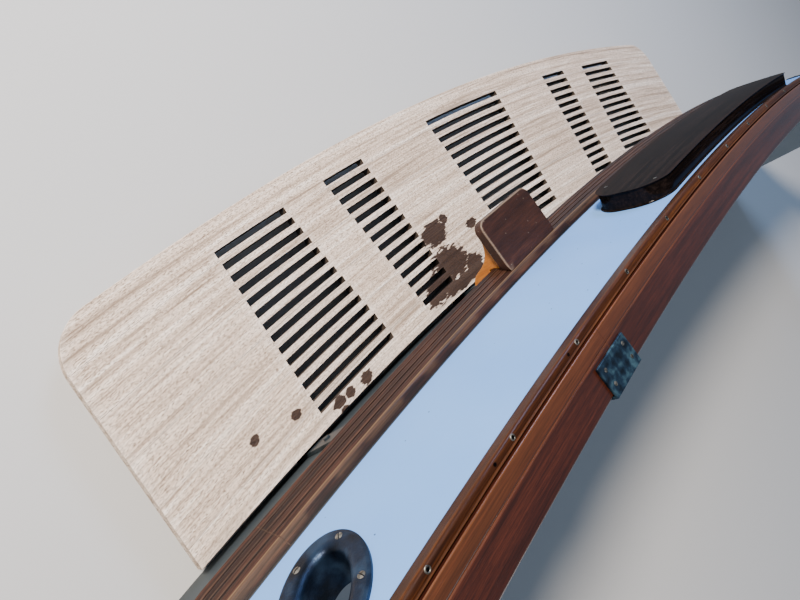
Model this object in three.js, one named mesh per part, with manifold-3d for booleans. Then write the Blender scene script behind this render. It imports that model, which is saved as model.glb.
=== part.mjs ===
// Transom of a trawler yacht with its slotted teak swim platform, in millimetres.
// +X is starboard, +Y is forward and +Z is up.
// The origin is the middle of the transom's bottom edge, half way through its thickness.

import * as THREE from 'three';
import { mergeVertices } from 'three/addons/utils/BufferGeometryUtils.js';
import Module from 'manifold-3d';

const wasm = await Module();
wasm.setup();

// Driving dimensions
const SLOT_PITCH = 40;
const STERN_RADIUS = 11000;
const CROWN_RADIUS = 30000;
const STERN_HALF = 1900;
const QUARTER_RADIUS = 240;
const RETURN_LENGTH = 150;
const WALL = 70;

// Gap left where two pieces touch, distance between stations and overrun of a cutting body
const SEAT = 0.3;
const STATION_STEP = 100;
const OVERRUN = 10;

// Heights above the transom's bottom edge, on the centreline
const PLATFORM_TOP = 500;
const KNUCKLE_Z = 1040;
const WALL_TOP = 1320;
const CAP_TOP = 1360;

// Distances aft of the knuckle: the hull face rakes below it and the bulwark leans in above it
const KNUCKLE_Y = -135;
const FOOT_AFT = -100;
const TOP_AFT = -77;
const LEAN = Math.atan2(-TOP_AFT, WALL_TOP - KNUCKLE_Z);

const COLOURS = {
  gelcoat: [0x8ab6e6, 0.4, 0],
  varnish: [0x6b3318, 0.3, 0],
  darkVarnish: [0x2a1a14, 0.25, 0],
  teak: [0xb9a698, 0.8, 0],
  bronze: [0x26333d, 0.5, 0.8],
  paintedSteel: [0x2b3940, 0.5, 0.4],
};

const SIDES = [[1, 'starboard'], [-1, 'port']];

const transom = new THREE.Group();

function sag(radius, x) {
  return radius - Math.sqrt(radius * radius - x * x);
}

function mix(a, b, share) {
  return a + (b - a) * share;
}

function addPiece(name, geometry, finish, parent = transom) {
  const [color, roughness, metalness] = COLOURS[finish];
  const mesh = new THREE.Mesh(geometry, new THREE.MeshStandardMaterial({ color, roughness, metalness }));
  mesh.name = name;
  parent.add(mesh);
}

// Solids for cutting and joining

function toSolid(geometry) {
  const bare = geometry.clone();
  bare.deleteAttribute('normal');
  bare.deleteAttribute('uv');
  const merged = mergeVertices(bare, 1e-3);
  return new wasm.Manifold(new wasm.Mesh({
    numProp: 3,
    vertProperties: new Float32Array(merged.attributes.position.array),
    triVerts: new Uint32Array(merged.index.array),
  }));
}

function toGeometry(solid) {
  const { vertProperties, triVerts } = solid.getMesh();
  const geometry = new THREE.BufferGeometry();
  geometry.setAttribute('position', new THREE.BufferAttribute(new Float32Array(vertProperties), 3));
  geometry.setIndex(new THREE.BufferAttribute(new Uint32Array(triVerts), 1));
  return geometry;
}

function shapeOf(points) {
  return new THREE.Shape(points.map(([x, y]) => new THREE.Vector2(x, y)));
}

// A flat outline between two heights
function slab(points, low, high) {
  const geometry = new THREE.ExtrudeGeometry(shapeOf(points), { depth: high - low, bevelEnabled: false });
  geometry.translate(0, 0, low);
  return geometry;
}

// Stations along the stern: a place on the knuckle, its outward direction and the fall of the crown,
// which runs level round the quarters

function station(x, y, angle) {
  const drop = sag(CROWN_RADIUS, Math.min(Math.abs(x), STERN_HALF));
  return { x, y, nx: Math.sin(angle), ny: -Math.cos(angle), drop };
}

function sternStation(x) {
  return station(x, KNUCKLE_Y + sag(STERN_RADIUS, x), Math.asin(x / STERN_RADIUS));
}

function quarterStations(side) {
  const steps = 6;
  const start = Math.asin(STERN_HALF / STERN_RADIUS);
  const end = sternStation(STERN_HALF);
  const centre = { x: end.x - QUARTER_RADIUS * end.nx, y: end.y - QUARTER_RADIUS * end.ny };
  const stations = [];
  for (let i = 1; i <= steps; i++) {
    const angle = mix(start, Math.PI / 2, i / steps);
    const x = centre.x + QUARTER_RADIUS * Math.sin(angle);
    const y = centre.y - QUARTER_RADIUS * Math.cos(angle);
    stations.push(station(side * x, y, side * angle));
  }
  const last = stations[steps - 1];
  stations.push(station(last.x, last.y + RETURN_LENGTH, side * Math.PI / 2));
  return stations;
}

// The run between two half-breadths; a null end goes round the quarter to the end of its return
function sternRun(from, to) {
  const low = from === null ? -STERN_HALF : from;
  const high = to === null ? STERN_HALF : to;
  const shortest = STATION_STEP / 10;
  const first = Math.ceil((low + shortest) / STATION_STEP) * STATION_STEP;
  const run = [];
  if (from === null) run.push(...quarterStations(-1).reverse());
  run.push(sternStation(low));
  for (let x = first; x < high - shortest; x += STATION_STEP) run.push(sternStation(x));
  run.push(sternStation(high));
  if (to === null) run.push(...quarterStations(1));
  return run;
}

// Joins one section of [aft, height] points per station; a third entry keeps a point level
function loft(stations, sections) {
  const count = sections[0].length;
  const positions = [];
  stations.forEach(({ x, y, nx, ny, drop }, i) => {
    for (const [aft, height, level] of sections[i]) {
      positions.push(x + nx * aft, y + ny * aft, level ? height : height - drop);
    }
  });
  const faces = [];
  for (let i = 0; i + 1 < stations.length; i++) {
    for (let j = 0; j < count; j++) {
      const a = i * count + j;
      const b = i * count + (j + 1) % count;
      faces.push(a, a + count, b, b, a + count, b + count);
    }
  }
  const outline = sections[0].map(([aft, height]) => new THREE.Vector2(aft, height));
  const last = (stations.length - 1) * count;
  for (const [a, b, c] of THREE.ShapeUtils.triangulateShape(outline, [])) {
    faces.push(a, b, c, last + c, last + b, last + a);
  }
  const geometry = new THREE.BufferGeometry();
  geometry.setAttribute('position', new THREE.Float32BufferAttribute(positions, 3));
  geometry.setIndex(faces);
  return geometry;
}

function sweep(stations, section) {
  return loft(stations, stations.map(() => section));
}

// Outer face of the wall, as a distance aft of the knuckle line, at a half-breadth and a height
function faceAft(x, height) {
  const knuckle = KNUCKLE_Z - sag(CROWN_RADIUS, x);
  if (height < knuckle) return FOOT_AFT * (1 - height / knuckle);
  return TOP_AFT * (height - knuckle) / (WALL_TOP - KNUCKLE_Z);
}

// A frame on the stern curve: local -Y points aft along the outward direction
function sternFrame(x) {
  const { y } = sternStation(x);
  const frame = new THREE.Group();
  frame.position.set(x, y, 0);
  frame.rotation.z = Math.asin(x / STERN_RADIUS);
  transom.add(frame);
  return frame;
}

// A frame that also rolls with the crown, in which rail heights hold as on the centreline
function crownFrame(x) {
  const { y, drop } = sternStation(x);
  const frame = new THREE.Group();
  frame.position.set(x, y, KNUCKLE_Z - drop);
  frame.rotation.set(0, Math.asin(x / CROWN_RADIUS), Math.asin(x / STERN_RADIUS), 'ZYX');
  const level = new THREE.Group();
  level.position.z = -KNUCKLE_Z;
  frame.add(level);
  transom.add(frame);
  return level;
}

// A plate with an [aft, height] outline and its thickness across the frame
function plateAcross(outline, width, centre = 0) {
  const geometry = slab(outline.map(([aft, height]) => [-aft, height]), centre - width / 2, centre + width / 2);
  geometry.applyMatrix4(new THREE.Matrix4().makeBasis(
    new THREE.Vector3(0, 1, 0), new THREE.Vector3(0, 0, 1), new THREE.Vector3(1, 0, 0)));
  return geometry;
}

// Hawse fairleads: a tilted oval casting with a sleeve through the bulwark, and a trim ring inside
const HAWSE_X = 1824;
const HAWSE_Z = 1187;
const HAWSE_TILT = 42 * Math.PI / 180;
const HAWSE_FLANGE = [124, 88];
const HAWSE_HOLE = [80, 44];
const HAWSE_FLANGE_THICK = 8;
const HAWSE_SLEEVE = 4;
const HAWSE_SIDES = 28;
const TRIM_THICK = 5;
const TRIM_WIDTH = 20;
const TRIM_GAP = 3;

// The bulwark's skin is thinner across than along the level
const SKIN = WALL * Math.cos(LEAN);

function ellipse(halves) {
  return Array.from({ length: HAWSE_SIDES }, (_, i) => {
    const angle = 2 * Math.PI * i / HAWSE_SIDES;
    return [halves[0] * Math.cos(angle), halves[1] * Math.sin(angle)];
  });
}

function grow(halves, by) {
  return halves.map((half) => half + by);
}

function ovalPlate(outer, inner, from, to) {
  const shape = shapeOf(ellipse(outer));
  if (inner) shape.holes.push(new THREE.Path(ellipse(inner).map(([x, y]) => new THREE.Vector2(x, y))));
  const geometry = new THREE.ExtrudeGeometry(shape, { depth: to - from, bevelEnabled: false });
  geometry.translate(0, 0, from);
  return geometry;
}

// A point on the wall's outer face
function facePoint(x, height) {
  const { y, nx, ny } = sternStation(x);
  const aft = faceAft(x, height);
  return new THREE.Vector3(x + nx * aft, y + ny * aft, height);
}

// A frame on the bulwark's face: X along the oval's length and Z outwards
function hawseMatrix(side) {
  const x = side * HAWSE_X;
  const height = HAWSE_Z - sag(CROWN_RADIUS, HAWSE_X);
  const reach = HAWSE_HOLE[0];
  const along = facePoint(x + reach, height).sub(facePoint(x - reach, height)).normalize();
  const rise = facePoint(x, height + reach).sub(facePoint(x, height - reach));
  const outward = new THREE.Vector3().crossVectors(along, rise).normalize();
  const up = new THREE.Vector3().crossVectors(outward, along);
  const frame = new THREE.Matrix4().makeBasis(along, up, outward).setPosition(facePoint(x, height));
  return frame.multiply(new THREE.Matrix4().makeRotationZ(side * HAWSE_TILT));
}

function addTransomWall() {
  const section = [
    [FOOT_AFT - WALL, 0, true],
    [FOOT_AFT, 0, true],
    [0, KNUCKLE_Z],
    [TOP_AFT, WALL_TOP],
    [TOP_AFT - WALL, WALL_TOP],
    [-WALL, KNUCKLE_Z],
  ];
  let wall = toSolid(sweep(sternRun(null, null), section));
  for (const [side] of SIDES) {
    const cutter = ovalPlate(grow(HAWSE_HOLE, HAWSE_SLEEVE + SEAT), null, -2 * WALL, WALL);
    wall = wall.subtract(toSolid(cutter.applyMatrix4(hawseMatrix(side))));
  }
  addPiece('transom_wall', toGeometry(wall), 'gelcoat');
}

function addHawseFairleads() {
  const seat = 2 * SEAT;
  const sleeveEnd = -SKIN - TRIM_GAP - TRIM_THICK;
  for (const [side, name] of SIDES) {
    const place = hawseMatrix(side);
    const flange = ovalPlate(HAWSE_FLANGE, HAWSE_HOLE, seat, seat + HAWSE_FLANGE_THICK);
    const sleeve = ovalPlate(grow(HAWSE_HOLE, HAWSE_SLEEVE), HAWSE_HOLE, sleeveEnd, seat + 1);
    const fairlead = toGeometry(toSolid(flange).add(toSolid(sleeve)));
    addPiece(`hawse_fairlead_${name}`, fairlead.applyMatrix4(place), 'bronze');
    const trimHole = grow(HAWSE_HOLE, HAWSE_SLEEVE + SEAT);
    const trim = ovalPlate(grow(trimHole, TRIM_WIDTH), trimHole, sleeveEnd, sleeveEnd + TRIM_THICK);
    addPiece(`hawse_trim_${name}`, trim.applyMatrix4(place), 'bronze');
  }
}

// Rub rail: flat weathered top, sloping beaded face and a short underside
const RUB_ARRIS = [23, 1027];
const RUB_TOE = [51, 972];
const RUB_BOTTOM_Z = 955;
const RUB_JOINTS = [618, 1767];
const BEAD_GROOVES = 3;
const GROOVE_DEPTH = 3;
const GROOVE_SHARE = 0.05;

function rubSection() {
  const underside = [RUB_TOE[0] - 6, RUB_BOTTOM_Z + 3];
  const section = [[faceAft(0, RUB_BOTTOM_Z) + SEAT, RUB_BOTTOM_Z], underside, RUB_TOE];
  const run = [RUB_ARRIS[0] - RUB_TOE[0], RUB_ARRIS[1] - RUB_TOE[1]];
  const length = Math.hypot(...run);
  for (let i = 1; i <= BEAD_GROOVES; i++) {
    const middle = i / (BEAD_GROOVES + 1);
    for (const [shift, depth] of [[-GROOVE_SHARE, 0], [0, GROOVE_DEPTH], [GROOVE_SHARE, 0]]) {
      section.push([
        RUB_TOE[0] + run[0] * (middle + shift) - depth * run[1] / length,
        RUB_TOE[1] + run[1] * (middle + shift) + depth * run[0] / length,
      ]);
    }
  }
  section.push(RUB_ARRIS, [RUB_ARRIS[0] - 4, RUB_ARRIS[1] + 6], [SEAT, KNUCKLE_Z]);
  return section;
}

// Lengths of a rail named from port to starboard, parted by a narrow joint
function railLengths(joints, names) {
  const half = SEAT / 2;
  const cuts = [...joints.map((x) => -x).reverse(), ...joints];
  return names.map((name, i) => ({
    name,
    from: i === 0 ? null : cuts[i - 1] + half,
    to: i === names.length - 1 ? null : cuts[i] - half,
  }));
}

function addRail(prefix, lengths, section) {
  for (const { name, from, to } of lengths) {
    addPiece(`${prefix}_${name}`, sweep(sternRun(from, to), section), 'varnish');
  }
}

// Cap rail: outer strip with its bead, a groove, and the wide board with a scribed line
const CAP_OUT = -63;
const STRIP_WIDTH = 19;
const STRIP_TOP = 1351;
const BEAD_WIDTH = 5;
const BEAD_RISE = 4;
const CAP_GROOVE = 2;
const CAP_WIDTH = 128;
const CAP_LINE = 54;
const LINE_DEPTH = 1.5;
const CAP_ROUND = 5;
const STRIP_JOINTS = [700];
const BOARD_JOINTS = [1195];
const CAP_IN = CAP_OUT - CAP_WIDTH;

function capStripSection() {
  const base = WALL_TOP + SEAT;
  const inner = CAP_OUT - STRIP_WIDTH;
  const beadTop = STRIP_TOP + BEAD_RISE;
  return [
    [inner, base],
    [CAP_OUT, base],
    [CAP_OUT, STRIP_TOP - CAP_ROUND],
    [CAP_OUT - CAP_ROUND, STRIP_TOP],
    [inner + BEAD_WIDTH, STRIP_TOP],
    [inner + BEAD_WIDTH - 1, beadTop],
    [inner + 1, beadTop],
    [inner, beadTop - 2],
  ];
}

function capBoardSection() {
  const base = WALL_TOP + SEAT;
  const outer = CAP_OUT - STRIP_WIDTH - CAP_GROOVE;
  const line = CAP_OUT - CAP_LINE;
  return [
    [CAP_IN, base],
    [outer, base],
    [outer, CAP_TOP - CAP_ROUND],
    [outer - CAP_ROUND, CAP_TOP],
    [line + LINE_DEPTH, CAP_TOP],
    [line, CAP_TOP - LINE_DEPTH],
    [line - LINE_DEPTH, CAP_TOP],
    [CAP_IN + CAP_ROUND, CAP_TOP],
    [CAP_IN, CAP_TOP - CAP_ROUND],
  ];
}

function addRails() {
  const five = ['quarter_port', 'port', 'centre', 'starboard', 'quarter_starboard'];
  const three = ['port', 'centre', 'starboard'];
  addRail('rub_rail', railLengths(RUB_JOINTS, five), rubSection());
  addRail('cap_strip', railLengths(STRIP_JOINTS, three), capStripSection());
  addRail('cap_board', railLengths(BOARD_JOINTS, three), capBoardSection());
}

// Name board: follows the bulwark's curve, with rounded ends
const BOARD_PORT = -905;
const BOARD_STARBOARD = 590;
const BOARD_BOTTOM = 1080;
const BOARD_TOP = 1297;
const BOARD_THICK = 52;
const BOARD_END_RADIUS = 95;

// The board's section, drawn in from its top and bottom by an inset
function boardSection(inset) {
  const along = inset * Math.cos(LEAN);
  const [low, high] = [BOARD_BOTTOM + along, BOARD_TOP - along];
  const [foot, head] = [faceAft(0, low) + SEAT, faceAft(0, high) + SEAT];
  const out = [BOARD_THICK * Math.cos(LEAN), BOARD_THICK * Math.sin(LEAN)];
  return [
    [foot, low],
    [foot + out[0], low + out[1]],
    [head + out[0], high + out[1]],
    [head, high],
  ];
}

function addNameBoard() {
  const steps = 7;
  const stations = sternRun(BOARD_PORT + BOARD_END_RADIUS, BOARD_STARBOARD - BOARD_END_RADIUS);
  const sections = stations.map(() => boardSection(0));
  for (let i = steps - 1; i >= 0; i--) {
    const angle = Math.PI / 2 * i / steps;
    const along = BOARD_END_RADIUS * (1 - Math.cos(angle));
    const section = boardSection(BOARD_END_RADIUS * (1 - Math.sin(angle)));
    stations.unshift(sternStation(BOARD_PORT + along));
    stations.push(sternStation(BOARD_STARBOARD - along));
    sections.unshift(section);
    sections.push(section);
  }
  addPiece('name_board', loft(stations, sections), 'darkVarnish');
}

// Boarding step: a board against the rub rail's arris on two ogee knees, each notched round the rail
// and standing against the hull below it. The ogee is a hollow curve to the waist, then a swell to the foot.
const STEP_X = 793;
const STEP_HALF = 124;
const STEP_REACH = 174;
const STEP_THICK = 28;
const STEP_CORNER = 28;
const STEP_SEAT = 0.8;
const KNEE_THICK = 28;
const KNEE_INSET = 12;
const KNEE_LIP = 3;
const KNEE_HOLLOW = [[112, 994], [76, 975]];
const KNEE_WAIST = [60, 920];
const KNEE_SWELL = [49, 881];
const KNEE_FOOT = [22, 877];
const KNEE_HEEL_Z = 873;
const KNEE_NOTCH_Z = RUB_BOTTOM_Z - 1.5;

// The rub rail's sloping face at a height, as a distance aft
function rubFaceAft(height) {
  const share = (RUB_ARRIS[1] - height) / (RUB_ARRIS[1] - RUB_TOE[1]);
  return mix(RUB_ARRIS[0], RUB_TOE[0], share) + STEP_SEAT;
}

function addStep() {
  const frame = crownFrame(STEP_X);
  const top = RUB_ARRIS[1];
  const under = top - STEP_THICK;
  const board = toSolid(plateAcross([
    [rubFaceAft(top), top],
    [STEP_REACH, top],
    [STEP_REACH, under],
    [rubFaceAft(under), under],
  ], 2 * STEP_HALF));
  const start = STEP_CORNER - STEP_REACH;
  const corners = [];
  for (let degrees = 0; degrees <= 90; degrees += 15) {
    const angle = degrees * Math.PI / 180;
    corners.push([STEP_HALF - STEP_CORNER + STEP_CORNER * Math.cos(angle), start - STEP_CORNER * Math.sin(angle)]);
  }
  const half = [[STEP_HALF + 1, 0], [STEP_HALF + 1, start], ...corners];
  const plan = [...half, ...half.map(([x, y]) => [-x, y]).reverse()];
  const cutter = toSolid(slab(plan, under - OVERRUN, top + OVERRUN));
  addPiece('step_board', toGeometry(board.intersect(cutter)), 'varnish', frame);

  const kneeTop = under - SEAT;
  const kneeBack = RUB_TOE[0] + STEP_SEAT;
  const kneeFront = STEP_REACH - KNEE_INSET;
  const corner = ([aft, height]) => new THREE.Vector2(aft, height);
  const waist = corner(KNEE_WAIST);
  const hollow = new THREE.CubicBezierCurve(
    corner([kneeFront, kneeTop - KNEE_LIP]), ...KNEE_HOLLOW.map(corner), waist);
  const swell = new THREE.QuadraticBezierCurve(waist, corner(KNEE_SWELL), corner(KNEE_FOOT));
  const hullBack = (height) => faceAft(0, height) + STEP_SEAT;
  const outline = [
    [rubFaceAft(kneeTop), kneeTop],
    [kneeFront, kneeTop],
    ...[...hollow.getPoints(9), ...swell.getPoints(5).slice(1)].map((point) => [point.x, point.y]),
    [hullBack(KNEE_HEEL_Z), KNEE_HEEL_Z],
    [hullBack(KNEE_NOTCH_Z), KNEE_NOTCH_Z],
    [kneeBack, KNEE_NOTCH_Z],
    [kneeBack, RUB_TOE[1]],
  ];
  for (const [side, name] of [[1, 'outboard'], [-1, 'inboard']]) {
    const centre = side * (STEP_HALF - KNEE_INSET - KNEE_THICK / 2);
    addPiece(`step_knee_${name}`, plateAcross(outline, KNEE_THICK, centre), 'varnish', frame);
  }
}

// Swim platform
const PLANK_THICK = 35;
const PLATFORM_HALF = 1792;
const PLATFORM_EDGE_Y = -777;
const PLATFORM_EDGE_RADIUS = 9250;
const PLATFORM_INNER_AFT = -31;
const PLATFORM_CORNER = 135;
const EDGE_SPAN = 1600;
const BAND_SPAN = 1900;
const INNER_STEPS = 18;
const FIRST_PLANK = 110;
const PLANK_WIDTH = 3 * SLOT_PITCH;
const PLANK_COUNT = 6;
const SLOT_WIDTH = 20;
const SLOT_ROWS = 14;

// Slot columns to starboard: ends of the slots nearest the outer edge, then of those nearest the hull
const SLOT_COLUMNS = [
  { first: [[648, -660], [848, -644]], last: [[598, -153], [774, -139]] },
  { first: [[1033, -623], [1315, -591]], last: [[954, -122], [1318, -76]] },
];
const MIDDLE_COLUMN = { first: [[-255, -687], [255, -687]], last: [[-208, -167], [208, -167]] };

function platformEdgeY(x) {
  return PLATFORM_EDGE_Y + sag(PLATFORM_EDGE_RADIUS, x);
}

function platformCorner(side) {
  const cornerX = PLATFORM_HALF - PLATFORM_CORNER;
  const reach = PLATFORM_EDGE_RADIUS - PLATFORM_CORNER;
  const rise = Math.sqrt(reach * reach - cornerX * cornerX);
  const cornerY = PLATFORM_EDGE_Y + PLATFORM_EDGE_RADIUS - rise;
  const tangent = Math.atan2(cornerX, rise);
  const steps = 8;
  return Array.from({ length: steps + 1 }, (_, i) => {
    const angle = mix(tangent, Math.PI / 2, i / steps);
    return [side * (cornerX + PLATFORM_CORNER * Math.sin(angle)), cornerY - PLATFORM_CORNER * Math.cos(angle)];
  });
}

function platformOutline() {
  const innerRadius = STERN_RADIUS + PLATFORM_INNER_AFT;
  const innerY = KNUCKLE_Y - PLATFORM_INNER_AFT;
  const points = platformCorner(-1).reverse();
  for (let x = -EDGE_SPAN; x <= EDGE_SPAN; x += STATION_STEP) points.push([x, platformEdgeY(x)]);
  points.push(...platformCorner(1));
  for (let i = INNER_STEPS; i >= -INNER_STEPS; i--) {
    const x = PLATFORM_HALF * i / INNER_STEPS;
    points.push([x, innerY + sag(innerRadius, x)]);
  }
  return points;
}

// A plank's band between two copies of the outer edge moved forward
function plankBand(from, to) {
  const points = [];
  for (let x = -BAND_SPAN; x <= BAND_SPAN; x += STATION_STEP) points.push([x, platformEdgeY(x) + from]);
  for (let x = BAND_SPAN; x >= -BAND_SPAN; x -= STATION_STEP) points.push([x, platformEdgeY(x) + to]);
  return points;
}

function slotOutline({ first, last }, side, row) {
  const share = row / (SLOT_ROWS - 1);
  const [a, b] = [0, 1].map((end) => new THREE.Vector2(
    side * mix(first[end][0], last[end][0], share),
    mix(first[end][1], last[end][1], share)));
  const along = b.clone().sub(a).setLength(side * SLOT_WIDTH / 2);
  const across = new THREE.Vector2(-along.y, along.x);
  const corners = [a.clone().sub(across), b.clone().sub(across), b.clone().add(across), a.clone().add(across)];
  if (side < 0) corners.reverse();
  return corners.map(({ x, y }) => [x, y]);
}

// The first plank holds one row of slots and each of the others up to three
function slotRowsOf(plank) {
  const first = plank === 0 ? 0 : 3 * plank - 2;
  const last = Math.min(3 * plank, SLOT_ROWS - 1);
  return Array.from({ length: last - first + 1 }, (_, i) => first + i);
}

function addPlanks() {
  const low = PLATFORM_TOP - PLANK_THICK;
  const platform = toSolid(slab(platformOutline(), low, PLATFORM_TOP));
  const columns = [[MIDDLE_COLUMN, 1]];
  for (const [side] of SIDES) columns.push(...SLOT_COLUMNS.map((column) => [column, side]));
  for (let plank = 0; plank < PLANK_COUNT; plank++) {
    const seam = FIRST_PLANK + (plank - 1) * PLANK_WIDTH;
    const from = plank === 0 ? -OVERRUN : seam + SEAT / 2;
    const to = seam + PLANK_WIDTH - SEAT / 2;
    const band = toSolid(slab(plankBand(from, to), low - OVERRUN, PLATFORM_TOP + OVERRUN));
    let solid = platform.intersect(band);
    for (const [column, side] of columns) {
      for (const row of slotRowsOf(plank)) {
        const slot = slab(slotOutline(column, side, row), low - OVERRUN, PLATFORM_TOP + OVERRUN);
        solid = solid.subtract(toSolid(slot));
      }
    }
    addPiece(`platform_plank_${plank + 1}`, toGeometry(solid), 'teak');
  }
}

// Battens across the planks, between the slot columns
const BATTEN_PLACES = [408, 870, 1555];
const BATTEN_WIDTH = 40;
const BATTEN_DEPTH = 28;
const BATTEN_LENGTH = 600;
const BATTEN_TAPER = 20;

function addBattens() {
  const top = PLATFORM_TOP - PLANK_THICK - SEAT;
  const outline = [
    [0, top],
    [0, top - BATTEN_DEPTH],
    [BATTEN_LENGTH - BATTEN_TAPER, top - BATTEN_DEPTH],
    [BATTEN_LENGTH, top - BATTEN_DEPTH / 2],
    [BATTEN_LENGTH, top],
  ];
  for (const [side, name] of SIDES) {
    BATTEN_PLACES.forEach((x, i) => {
      addPiece(`batten_${name}_${i + 1}`, plateAcross(outline, BATTEN_WIDTH), 'teak', sternFrame(side * x));
    });
  }
}

// Brackets: a hull pad and an arm with its web, and a strut from the arm down to the pad
const BRACKET_PLACES = [540, 1390];
const BRACKET_WIDTH = 58;
const PAD_THICK = 12;
const PAD_LOW = 90;
const PAD_HIGH = 760;
const ARM_REACH = 520;
const ARM_THICK = 10;
const ARM_NOSE = 15;
const WEB_THICK = 12;
const WEB_DEPTH = 42;
const STRUT_SIZE = 30;
const STRUT_DEPTH = 36;
const STRUT_FOOT_Z = 150;
const STRUT_HEAD = [386, 450];

function addBrackets() {
  const armTop = PLATFORM_TOP - PLANK_THICK - SEAT;
  const armBottom = armTop - ARM_THICK;
  const webBottom = armBottom - WEB_DEPTH;
  for (const [side, name] of SIDES) {
    BRACKET_PLACES.forEach((place, i) => {
      const x = side * place;
      const frame = sternFrame(x);
      const padAft = (z) => faceAft(x, z) + SEAT;
      const pad = plateAcross([
        [padAft(PAD_LOW), PAD_LOW],
        [padAft(PAD_LOW) + PAD_THICK, PAD_LOW],
        [padAft(PAD_HIGH) + PAD_THICK, PAD_HIGH],
        [padAft(PAD_HIGH), PAD_HIGH],
      ], BRACKET_WIDTH);
      const root = padAft(armTop) + PAD_THICK / 2;
      const arm = plateAcross([
        [root, armBottom],
        [ARM_REACH, armBottom],
        [ARM_REACH, armTop],
        [root, armTop],
      ], BRACKET_WIDTH);
      const web = plateAcross([
        [root, webBottom],
        [STRUT_HEAD[1] + OVERRUN, webBottom],
        [ARM_REACH - ARM_NOSE, armBottom - OVERRUN],
        [ARM_REACH - ARM_NOSE, armTop - ARM_THICK / 2],
        [root, armTop - ARM_THICK / 2],
      ], WEB_THICK);
      const bracket = toSolid(pad).add(toSolid(arm)).add(toSolid(web));
      addPiece(`bracket_${name}_${i + 1}`, toGeometry(bracket), 'paintedSteel', frame);

      const strutBack = (z) => padAft(z) + PAD_THICK + SEAT;
      const strut = plateAcross([
        [strutBack(STRUT_FOOT_Z), STRUT_FOOT_Z],
        [STRUT_HEAD[1], webBottom - SEAT],
        [STRUT_HEAD[0], webBottom - SEAT],
        [strutBack(STRUT_FOOT_Z + STRUT_DEPTH), STRUT_FOOT_Z + STRUT_DEPTH],
      ], STRUT_SIZE);
      addPiece(`strut_${name}_${i + 1}`, strut, 'paintedSteel', frame);
    });
  }
}

// Angle plates over the cap board's joints
const ANGLE_WIDTH = 120;
const ANGLE_THICK = 6;
const ANGLE_REACH = 64;
const ANGLE_DROP = 34;

function addAnglePlates() {
  const top = CAP_TOP + SEAT;
  const back = CAP_IN - 2 * SEAT;
  const outline = [
    [back, top],
    [back, top - ANGLE_DROP],
    [back - ANGLE_THICK, top - ANGLE_DROP],
    [back - ANGLE_THICK, top + ANGLE_THICK],
    [back + ANGLE_REACH, top + ANGLE_THICK],
    [back + ANGLE_REACH, top],
  ];
  for (const [side, name] of SIDES) {
    const frame = crownFrame(side * BOARD_JOINTS[0]);
    addPiece(`angle_plate_${name}`, plateAcross(outline, ANGLE_WIDTH), 'bronze', frame);
  }
}

addTransomWall();
addHawseFairleads();
addRails();
addNameBoard();
addStep();
addPlanks();
addBattens();
addBrackets();
addAnglePlates();

export default transom;
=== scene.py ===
"""Looks of a trawler yacht's transom with its slotted teak swim platform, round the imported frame.

Metres, +X starboard, +Y forward, +Z up. Shapes are worked out as numpy arrays in flat coordinates,
as the wood is before it is bent, and a place function then carries them to the stern's curve.
"""
import math

import bmesh
import bpy
import numpy as np
from mathutils import Matrix, Vector


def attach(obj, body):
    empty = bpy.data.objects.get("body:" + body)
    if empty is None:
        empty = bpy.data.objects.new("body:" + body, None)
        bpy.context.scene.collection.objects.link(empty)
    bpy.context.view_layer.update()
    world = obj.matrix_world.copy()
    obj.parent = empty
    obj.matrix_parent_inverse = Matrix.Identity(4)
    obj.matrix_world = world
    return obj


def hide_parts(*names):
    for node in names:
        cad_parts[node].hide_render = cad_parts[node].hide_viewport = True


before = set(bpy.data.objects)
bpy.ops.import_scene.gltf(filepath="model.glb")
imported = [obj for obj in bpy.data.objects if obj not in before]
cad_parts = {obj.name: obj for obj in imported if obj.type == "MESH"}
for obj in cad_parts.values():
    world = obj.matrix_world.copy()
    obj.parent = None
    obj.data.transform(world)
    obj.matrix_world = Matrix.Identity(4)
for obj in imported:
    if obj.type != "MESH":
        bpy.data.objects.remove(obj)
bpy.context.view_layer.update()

BODY = "root"
SIDES = ((1, "starboard"), (-1, "port"))

# Curves of the stern, seen from above and from astern
STERN_RADIUS = 11.0
CROWN_RADIUS = 30.0
STERN_HALF = 1.9
QUARTER_RADIUS = 0.24
RETURN_LENGTH = 0.15
KNUCKLE_Y = -0.135
QUARTER_START = math.asin(STERN_HALF / STERN_RADIUS)
STERN_ARC = STERN_RADIUS * QUARTER_START
QUARTER_ARC = QUARTER_RADIUS * (math.pi / 2 - QUARTER_START)
RUN_END = STERN_ARC + QUARTER_ARC + RETURN_LENGTH
BENDS = (-STERN_ARC - QUARTER_ARC, -STERN_ARC, STERN_ARC, STERN_ARC + QUARTER_ARC)

# Wall: hull face below the knuckle, leaning bulwark above it
WALL = 0.07
KNUCKLE_Z = 1.04
WALL_TOP = 1.32
FOOT_AFT = -0.1
TOP_AFT = -0.077
LEAN = math.atan2(-TOP_AFT, WALL_TOP - KNUCKLE_Z)
FACE_LENGTH = math.hypot(TOP_AFT, WALL_TOP - KNUCKLE_Z)

# Clearance between seated pieces, and the spacing of stations along the rails
SEAT = 0.0003
STATION = 0.025


# Stern curve and the faces on it

def sag(radius, x):
    """Fall of a circle of this radius at a distance x from its top."""
    return radius - np.sqrt(radius * radius - x * x)


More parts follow.
